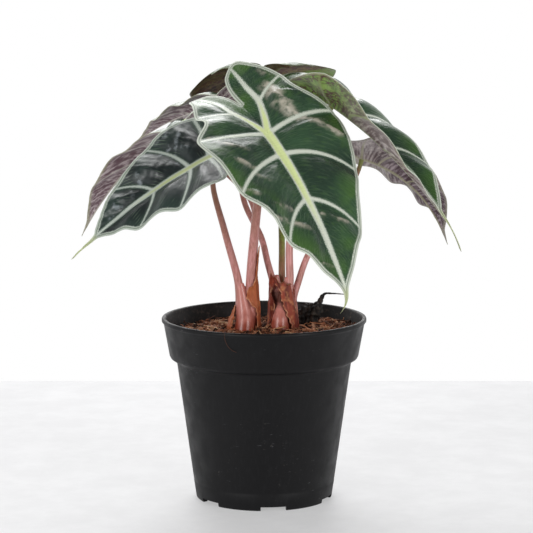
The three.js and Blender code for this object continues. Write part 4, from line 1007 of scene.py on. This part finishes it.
for name, (crown, foot, (foot_radius, radius, top_radius), through) in STALKS.items():
    place, upward = blade_frame(LEAVES[name], 0.0, 0.0)
    level = CROWN_TOPS[crown]
    route = [(*foot, level - 6), (*foot, level + 1), *through]
    route += [place - upward * STALK_NECK, place - upward * STALK_END]
    shares = np.linspace(0, 1, STALK_STEPS + 1)
    swell = np.clip((shares - 0.03) / (SWELL_END - 0.03), 0, 1)
    swell = swell * swell * (3 - 2 * swell)
    taper = (shares - SWELL_END) / (1 - SWELL_END)
    radii = np.where(shares < SWELL_END, foot_radius + (radius - foot_radius) * swell,
                     radius + (top_radius - radius) * taper)
    flare = 0.5 * np.clip((shares - 0.965) / 0.035, 0, 1) ** 2
    points, faces = tube(centripetal(route, shares), radii + flare, STALK_SIDES)
    kind = "green" if name == "rear" else "pink"
    piece = new_piece("leaf_stalk_" + name, points * MM, faces, stalk_skins[kind])
    new_attribute(piece.data, "along", np.concatenate([np.repeat(shares, STALK_SIDES), [0, 1]]))
    dress(piece, "stalk_" + kind, "stalk_" + name)


# Crowns: the swollen, clasping feet of the stalks, grown into one another, smooth and glossy. They
# stand in the soil and are pink, red brown lower down, and dull where the right one's hollow opens, with
# the hollow's shade painted dark brown.
# Each foot goes by points from its top down into the soil, with its radius there.
CROWN_FEET = {
    "left": [
        [(-14.3, -1.2, 127, 2.5), (-12.8, -1.4, 118, 3.4), (-11.7, -2, 111, 4.3),
         (-11.3, -3, 104, 5.4), (-12, -3.4, 97, 6.4), (-12, -3, 86, 5.4)],
        [(-7.3, -0.6, 134, 2.4), (-7.1, 0, 122, 3.4), (-6.9, 1, 112, 3.9),
         (-7.5, 2, 103, 4.5), (-8.4, 2.5, 95, 5.2), (-9, 2.4, 86, 4.6)],
        [(-11.6, 6.6, 124, 1.8), (-12, 6.4, 112, 2.9), (-12.2, 5.6, 100, 3.8), (-12, 5, 86, 4)],
    ],
    "right": [
        [(9.9, 1.4, 121, 1.1), (9.8, -0.2, 114, 2.6), (9.5, -1.9, 107, 4.7), (9.3, -2.2, 99, 5.9),
         (9.4, -1.6, 86, 5)],
        [(7.3, 5.4, 131, 1.5), (7.6, 5.4, 122, 2.9), (8.2, 4.8, 111, 4.1), (8.8, 3.8, 98, 4.4),
         (9, 3.4, 86, 4.2)],
        [(13.4, 2.2, 130, 1.6), (13.4, 2.2, 120, 2.3), (14, 2.2, 110, 3.6), (14.6, 2.6, 99, 4.4),
         (14.6, 3, 86, 4.2)],
        [(17.8, 6.8, 123, 1.4), (17.4, 6.8, 115, 2.1), (17.2, 6.4, 106, 3.1), (16.8, 6, 96, 3.8),
         (16.4, 5.8, 86, 3.6)],
        [(11, 9.6, 124, 1.3), (11.2, 9.3, 111, 2.3), (12, 8.2, 98, 3.6), (12, 7.6, 86, 3.8)],
        [(5.3, 5, 123, 1.2), (5.6, 4.9, 117, 2.2), (6.6, 4.6, 108, 3.1), (7.6, 4, 96, 3.8), (8, 4, 86, 3.6)],
    ],
}
CROWN_SIDES = 24
CROWN_STEPS = 40
CROWN_VOXEL = 0.5 * MM
# Crown skin: living tissue with a thin waxy skin, so it takes small clear highlights
crown_skin, tree, place = new_material("smooth crown skin", IOR=1.46, Specular_IOR_Level=0.55)
height = add_node(tree, "SeparateXYZ", place)[2]
lengthwise = add_node(tree, "Mapping", {"Vector": place, "Scale": (1, 1, 0.12)})[0]
wavy = add_node(tree, "TexNoise", {"Vector": place, "Scale": 1 / (4 * MM), "Detail": 3.0})[0]
wavy_height = add_node(tree, "Math", wavy, 14 * MM, height, operation="MULTIPLY_ADD")[0]
upward = (wavy_height, 106 * MM, 120 * MM)
tone = paint(tree, "#94391d", "#c78176", upward)
tone = paint(tree, tone, "#98564c", patches(tree, lengthwise, 1.2, 3, 0.45, 0.72, 0, 0.5))
# Painted shade: where the right crown's hollow opens, the skin is painted dark brown for the shade inside
hollow = add_node(tree, "Attribute", attribute_name="hollow")["Fac"]
dull = add_node(tree, "MapRange", hollow, 0, 0.5, 0.3, 0.7, **SMOOTH)[0]
finish(tree, paint(tree, tone, "#5e3024", hollow), dull, (lengthwise, 1.4, 2, 0.5), 0.2, 0.3)

for name, feet in CROWN_FEET.items():
    points, faces = [], []
    for foot in feet:
        foot = np.array(foot, float)
        line = centripetal(foot[:, :3], np.linspace(0, 1, CROWN_STEPS))
        radii = np.interp(-line[:, 2], -foot[:, 2], foot[:, 3])
        more, more_faces = tube(line, radii, CROWN_SIDES)
        faces += [tuple(k + len(points) for k in face) for face in more_faces]
        points += list(more)
    piece = new_piece("plant_crown_" + name, np.array(points) * MM, faces, crown_skin)
    fuse = piece.modifiers.new("fuse", "REMESH")
    fuse.mode = "VOXEL"
    fuse.voxel_size = CROWN_VOXEL
    fuse.use_smooth_shade = True
    piece.modifiers.new("ease", "SMOOTH").iterations = 8
    bake(piece)
    # The share of painted hollow shade, by height, on the right crown only
    heights = np.array([vertex.co.z for vertex in piece.data.vertices]) / MM
    hollow_shade_share = np.clip((heights - 112) / 4, 0, 1) * np.clip((123 - heights) / 2, 0, 1)
    new_attribute(piece.data, "hollow", hollow_shade_share * (name == "right"))
    dress(piece, "crown_skin", "crown_" + name)


# Sheaths: dry papery remains of old leaf bases that clasp the crowns, orange brown and translucent,
# darker red brown in lengthwise patches and cream along their torn edges. Towards the plant's left they are
# painted more orange, as light shining through the thin paper. Each is a torn sheet wound round its
# stalk bases, given by levels from the soil up: height, centre, radius, first and last angle.
SHEATHS = {
    "left": [
        (95.5, (-12, -1), 9.2, 150, 236), (99, (-12, -1), 9.6, 152, 232), (102, (-12, -1), 9.4, 155, 226),
        (106, (-12, -1), 7.7, 160, 220), (109, (-12, -1), 6, 165, 216), (112.5, (-12, -1), 4.9, 172, 206),
        (114, (-12, -1), 4.5, 178, 200),
    ],
    "front": [
        (95.5, (-8.4, 1), 6.4, -52, 40), (101, (-8, 1), 6, -50, 40), (107, (-7.5, 0.8), 5, -52, 42),
        (112, (-7, 0.6), 4.6, -62, 44), (116, (-7, 0.4), 4.3, -100, 46), (119, (-7.1, 0.2), 4.1, -132, 48),
        (123, (-7.2, -0.1), 4, -128, 48), (126.5, (-7.2, -0.6), 3.9, -84, 46),
        (131, (-7.5, -1.4), 3.35, -50, 40), (138, (-7.2, -3), 3.15, -40, 30),
        (145, (-6.7, -4.7), 3.05, -30, 20), (149, (-6.4, -5.8), 3, -18, 8),
    ],
    "right": [
        (95.5, (11.4, 3.4), 9.7, 168, 392), (104, (11.4, 3.6), 9, 168, 392), (112, (11, 3.6), 7.9, 170, 388),
        (118, (10.4, 3.8), 7.1, 174, 376), (122, (10.1, 4), 6.7, 178, 362), (125.5, (10, 4), 6.4, 184, 346),
        (128, (9.8, 4.2), 6.2, 196, 262), (131, (9.4, 4.4), 6, 210, 236), (133.5, (9.2, 4.6), 5.8, 218, 224),
    ],
}
# The opening of the right sheath, where the young bulb shows: height, first and last angle
SHEATH_OPENING = [(95.5, 202, 310), (100, 206, 304), (104, 214, 297), (109, 232, 284), (114, 238, 274),
                  (118, 222, 270), (122, 212, 268), (124.5, 222, 258), (125.6, 238, 242)]
# A sheath's thickness and the height of its rows in millimetres, and its columns round the stalk bases
SHEATH_THICKNESS = 0.4
SHEATH_ROW_STEP = 0.3
SHEATH_COLUMNS = 140
# Dry papery leaf base: a thin fibrous skin, dull, with red brown blotches along it and frayed pale edges
papery, tree, place = new_material("dry papery sheath", IOR=1.45, Specular_IOR_Level=0.35, Roughness=0.55)
lengthwise = add_node(tree, "Mapping", {"Vector": place, "Scale": (1, 1, 0.2)})[0]
tone = paint(tree, "#5e1f13", "#94402a", patches(tree, lengthwise, 3, 3, 0.36, 0.64))
tone = paint(tree, tone, "#bb7a50", patches(tree, place, 5, 3, 0.55, 0.75))
# Painted light: the sheaths are painted more orange towards the plant's left, standing in for light shining
# through the thin paper
lit_through_left = add_node(tree, "SeparateXYZ", place)[0]
lit_through_left = (lit_through_left, 2 * MM, -6 * MM, 0, 0.6)
tone = paint(tree, tone, "#b8683c", lit_through_left)
torn_gap = add_node(tree, "Attribute", attribute_name="torn_gap")["Fac"]
frayed = (torn_gap, 0.8, 0.1)
tone = paint(tree, tone, "#cf9d78", frayed, patches(tree, place, 4, 2, 0.42, 0.6), 0.55)
finish(tree, tone, None, (lengthwise, 1.6, 3, 0.5), 0.4, 0.35)

rng = np.random.default_rng(5)
opening = np.array(SHEATH_OPENING, float)
for name, levels in SHEATHS.items():
    heights = np.array([level[0] for level in levels])
    shape = np.array([[*level[1], *level[2:]] for level in levels], float)
    rows = np.linspace(heights[0], heights[-1], int((heights[-1] - heights[0]) / SHEATH_ROW_STEP))
    columns = [np.interp(rows, heights, column)[:, None] for column in shape.T]
    centre_x, centre_y, radius, first, last = columns
    share = np.linspace(0, 1, SHEATH_COLUMNS)
    jag, tear = (np.interp(rows, np.arange(90, 152, step), rng.uniform(-1, 1, count))[:, None]
                 for step, count in ((1.6, 39), (1.1, 57)))
    first, last = first + 5 * jag, last + 5 * tear
    angle = first + (last - first) * share
    z = rows[:, None] + 0 * angle
    z = z + 0.8 * np.sin(angle * 0.16) * (rows[:, None] - heights[0]) / (heights[-1] - heights[0])
    crease = 0.16 * np.sin(angle * 0.15 + z * 0.13) + 0.05 * np.sin(angle * 0.4 - z * 0.2)
    edge_gap = np.minimum(angle - first, last - angle) * radius * math.radians(1)
    torn = np.minimum(edge_gap, heights[-1] - rows[:, None])
    out = radius + crease + 0.7 * np.exp(-(edge_gap / 1.2) ** 2)
    kept = np.ones((len(rows) - 1, len(share) - 1), bool)
    if name == "right":
        low, high = (np.interp(rows, opening[:, 0], opening[:, k])[:, None] for k in (1, 2))
        inside = np.minimum(angle - low - 4 * jag, high + 4 * tear - angle) * radius * math.radians(1)
        inside = np.minimum(inside, (opening[-1, 0] - rows)[:, None])
        torn = np.minimum(torn, np.maximum(-inside, 0))
        out = out + 0.6 * np.exp(-(np.minimum(inside, 0) / 1.2) ** 2)
        kept = (inside[:-1, :-1] < 0) | (inside[1:, 1:] < 0)
    x = centre_x + np.cos(np.radians(angle)) * out
    y = centre_y + np.sin(np.radians(angle)) * out
    quads = grid_quads(np.arange(z.size).reshape(z.shape))[kept]
    used, quads = np.unique(quads, return_inverse=True)
    quads = quads.reshape(-1, 4)
    middle = np.stack([x, y, z], -1).reshape(-1, 3)[used]
    skin = sheet_normals(middle, quads) * SHEATH_THICKNESS / 2
    shell = shell_faces(quads.tolist(), len(middle))
    points = np.concatenate([middle + skin, middle - skin]) * MM
    piece = new_piece("papery_sheath_" + name, points, shell, papery)
    new_attribute(piece.data, "torn_gap", np.tile(torn.reshape(-1)[used], 2))
    dress(piece, "sheath_paper", "sheath_" + name)


# Withered leaf: the crumpled black remains of a leaf at the right rear, dried on its thin stalk, whose
# last strand points to the right. It passes points with a radius at each.
WITHERED_ROUTE = [
    (21, 19, 96, 1.5), (23, 19, 100, 3), (26.5, 19.5, 104.5, 4.9), (30.5, 20.5, 108, 4.4),
    (33, 21.5, 112, 1.9), (34.6, 23, 115.2, 1.2), (36.6, 24, 116.8, 0.5), (42, 25, 116.7, 0.3),
    (47.6, 25, 116.3, 0.2),
]
# Dry dead leaf: shrunk, brittle and matt, nearly black with brown grey folds
charred, tree, place = new_material("dry black leaf", Roughness=0.7, Specular_IOR_Level=0.3)
tone = paint(tree, "#0f0d0c", "#3a332d", patches(tree, place, 2.5, 3, 0.4, 0.7))
finish(tree, tone, None, (place, 1.5, 4, 0.5), 1.0, 0.6)

WITHERED_SIDES = 36
route = np.array(WITHERED_ROUTE, float)
shares = np.linspace(0, 1, 160)
line = centripetal(route[:, :3], shares)
steps = np.concatenate([[0], np.cumsum(np.linalg.norm(np.diff(route[:, :3], axis=0), axis=1))])
radius = np.interp(shares, steps / steps[-1], route[:, 3])
turns = np.arange(WITHERED_SIDES) * 2 * np.pi / WITHERED_SIDES
crumple = (1 + 0.28 * np.sin(2 * turns + shares[:, None] * 9) + 0.2 * np.sin(5 * turns - shares[:, None] * 31)
           + 0.16 * np.sin(7 * turns + shares[:, None] * 57))
points, faces = tube(line, radius[:, None] * crumple, WITHERED_SIDES)
dress(new_piece("withered_leaf_remains", points * MM, faces, charred), "withered", "withered_leaf")


# Straw: one loose pale stalk of dry grass that lies on the soil at the left, a little bent and uneven in
# thickness. Nothing holds it.
STRAW_ROUTE = np.array([(-42.5, 28), (-38, 20), (-33, 9), (-27.5, -3)], float)
STRAW_LIFT = 1.7
# Dry straw: smooth and dull, pale yellow brown in patches
straw_skin, tree, place = new_material("dry straw", Roughness=0.6, Specular_IOR_Level=0.35)
finish(tree, paint(tree, "#b98d66", "#dcbc94", patches(tree, place, 3, 3, 0.4, 0.7)))
straw_points = np.column_stack([STRAW_ROUTE, soil_level(*STRAW_ROUTE.T) + STRAW_LIFT])
line = centripetal(straw_points, np.linspace(0, 1, 60))
points, faces = tube(line, 0.45 + 0.1 * np.sin(np.linspace(0, 9, 60)), 10)
dress(new_piece("straw_fibre", points * MM, faces, straw_skin), "straw_fibre", "straw")

# Root hair: one fine brown root, as thin as a coco fibre. It grew out of the soil at the front left and
# hangs over the lip, and it has the fibres' finish.
HAIR_ROUTE = [
    (-21.5, -49.5, 100.5), (-21.8, -52.3, 105.8), (-22, -54.3, 107.35), (-22.1, -56.2, 106),
    (-21.9, -55.3, 103), (-20.5, -54.9, 99.5), (-18, -55.3, 97), (-15.5, -55.9, 96),
]
HAIR_RADIUS = 0.1
line = centripetal(HAIR_ROUTE, np.linspace(0, 1, 80))
points, faces = tube(line, np.full(80, HAIR_RADIUS), 8)
dress(new_piece("root_hair", points * MM, faces, coir), "peat")


# Table: the plain frosted acrylic top that the plant stands on, lit a little from below. It ends behind
# the plant, under a white background.
TABLE_REACH = 3
TABLE_BACK = 0.345
# Frosted acrylic: matt and nearly white, with soft cloudy patches
acrylic, tree, place = new_material("frosted acrylic light table", Roughness=0.6, Specular_IOR_Level=0.3,
                                    Emission_Strength=0.4, Emission_Color=linear("#ffffff"))
finish(tree, paint(tree, "#9b9b9d", "#a6a6a8", patches(tree, place, 35, 7, 0.35, 0.7, grit=0.68)))
table = [(x, y, 0) for x, y in [(-TABLE_REACH, -TABLE_REACH), (TABLE_REACH, -TABLE_REACH),
                                (TABLE_REACH, TABLE_BACK), (-TABLE_REACH, TABLE_BACK)]]
new_piece("table_top", table, [(0, 1, 2, 3)], acrylic)

# Soft studio light: a dim room with a bright white backdrop behind the plant and pale walls beside it, one
# softbox overhead towards the back and a low one at each side of the camera
world = bpy.data.worlds.new("studio")
bpy.context.scene.world = world
world.use_nodes = True
tree = world.node_tree
axes = add_node(tree, "SeparateXYZ", add_node(tree, "TexCoord")["Generated"])
behind = add_node(tree, "MapRange", axes[1], 0.1, 0.5, **SMOOTH)[0]
low = add_node(tree, "MapRange", axes[2], 0.75, 0.4, **SMOOTH)[0]
beside = add_node(tree, "Math", axes[0], operation="ABSOLUTE")[0]
walls = add_node(tree, "MapRange", beside, 0.75, 0.9, 0, 0.7, **SMOOTH)[0]
glow = add_node(tree, "Math", behind, walls, operation="MAXIMUM")[0]
glow = add_node(tree, "Math", glow, low, operation="MULTIPLY")[0]
glow = add_node(tree, "Math", glow, 0.85, 0.2, operation="MULTIPLY_ADD")[0]
room = add_node(tree, "Background", linear("#ffffff"), glow)[0]
backdrop = add_node(tree, "Background", linear("#ffffff"), 1.0)[0]
seen = add_node(tree, "LightPath")["Is Camera Ray"]
shown = add_node(tree, "MixShader", seen, room, backdrop)[0]
tree.links.new(shown, tree.nodes["World Output"].inputs[0])
for name, place, aim, size, power in [
    ("softbox overhead", (-0.12, 0.95, 1.06), (0, 0.05, 0.2), 1.05, 17),
    ("front left softbox", (-0.95, -1.3, 0.42), (0, 0, 0.13), 0.6, 12),
    ("front right softbox", (1.1, -1.2, 0.4), (0, 0, 0.13), 0.6, 10),
]:
    lamp = bpy.data.lights.new(name, "AREA")
    lamp.size = size
    lamp.energy = power
    holder = bpy.data.objects.new(name, lamp)
    holder.location = place
    holder.rotation_euler = (Vector(aim) - Vector(place)).to_track_quat("-Z", "Y").to_euler()
    bpy.context.scene.collection.objects.link(holder)
bpy.context.scene.view_settings.view_transform = "Standard"

# Camera: where the photograph was taken from, a little above the plant and looking slightly down. Its place
# is in metres, its tilt in radians and its focal length in pixels of the picture.
CAMERA_PLACE = (0.00142, -1.3, 0.3265)
CAMERA_TILT = 0.145
FOCAL_PIXELS = 2247
PICTURE_PIXELS = 533
camera = bpy.data.objects.new("camera", bpy.data.cameras.new("camera"))
camera.location = CAMERA_PLACE
camera.rotation_euler = (math.pi / 2 - CAMERA_TILT, 0, 0)
camera.data.lens = FOCAL_PIXELS / PICTURE_PIXELS * camera.data.sensor_width
bpy.context.scene.collection.objects.link(camera)
bpy.context.scene.camera = camera
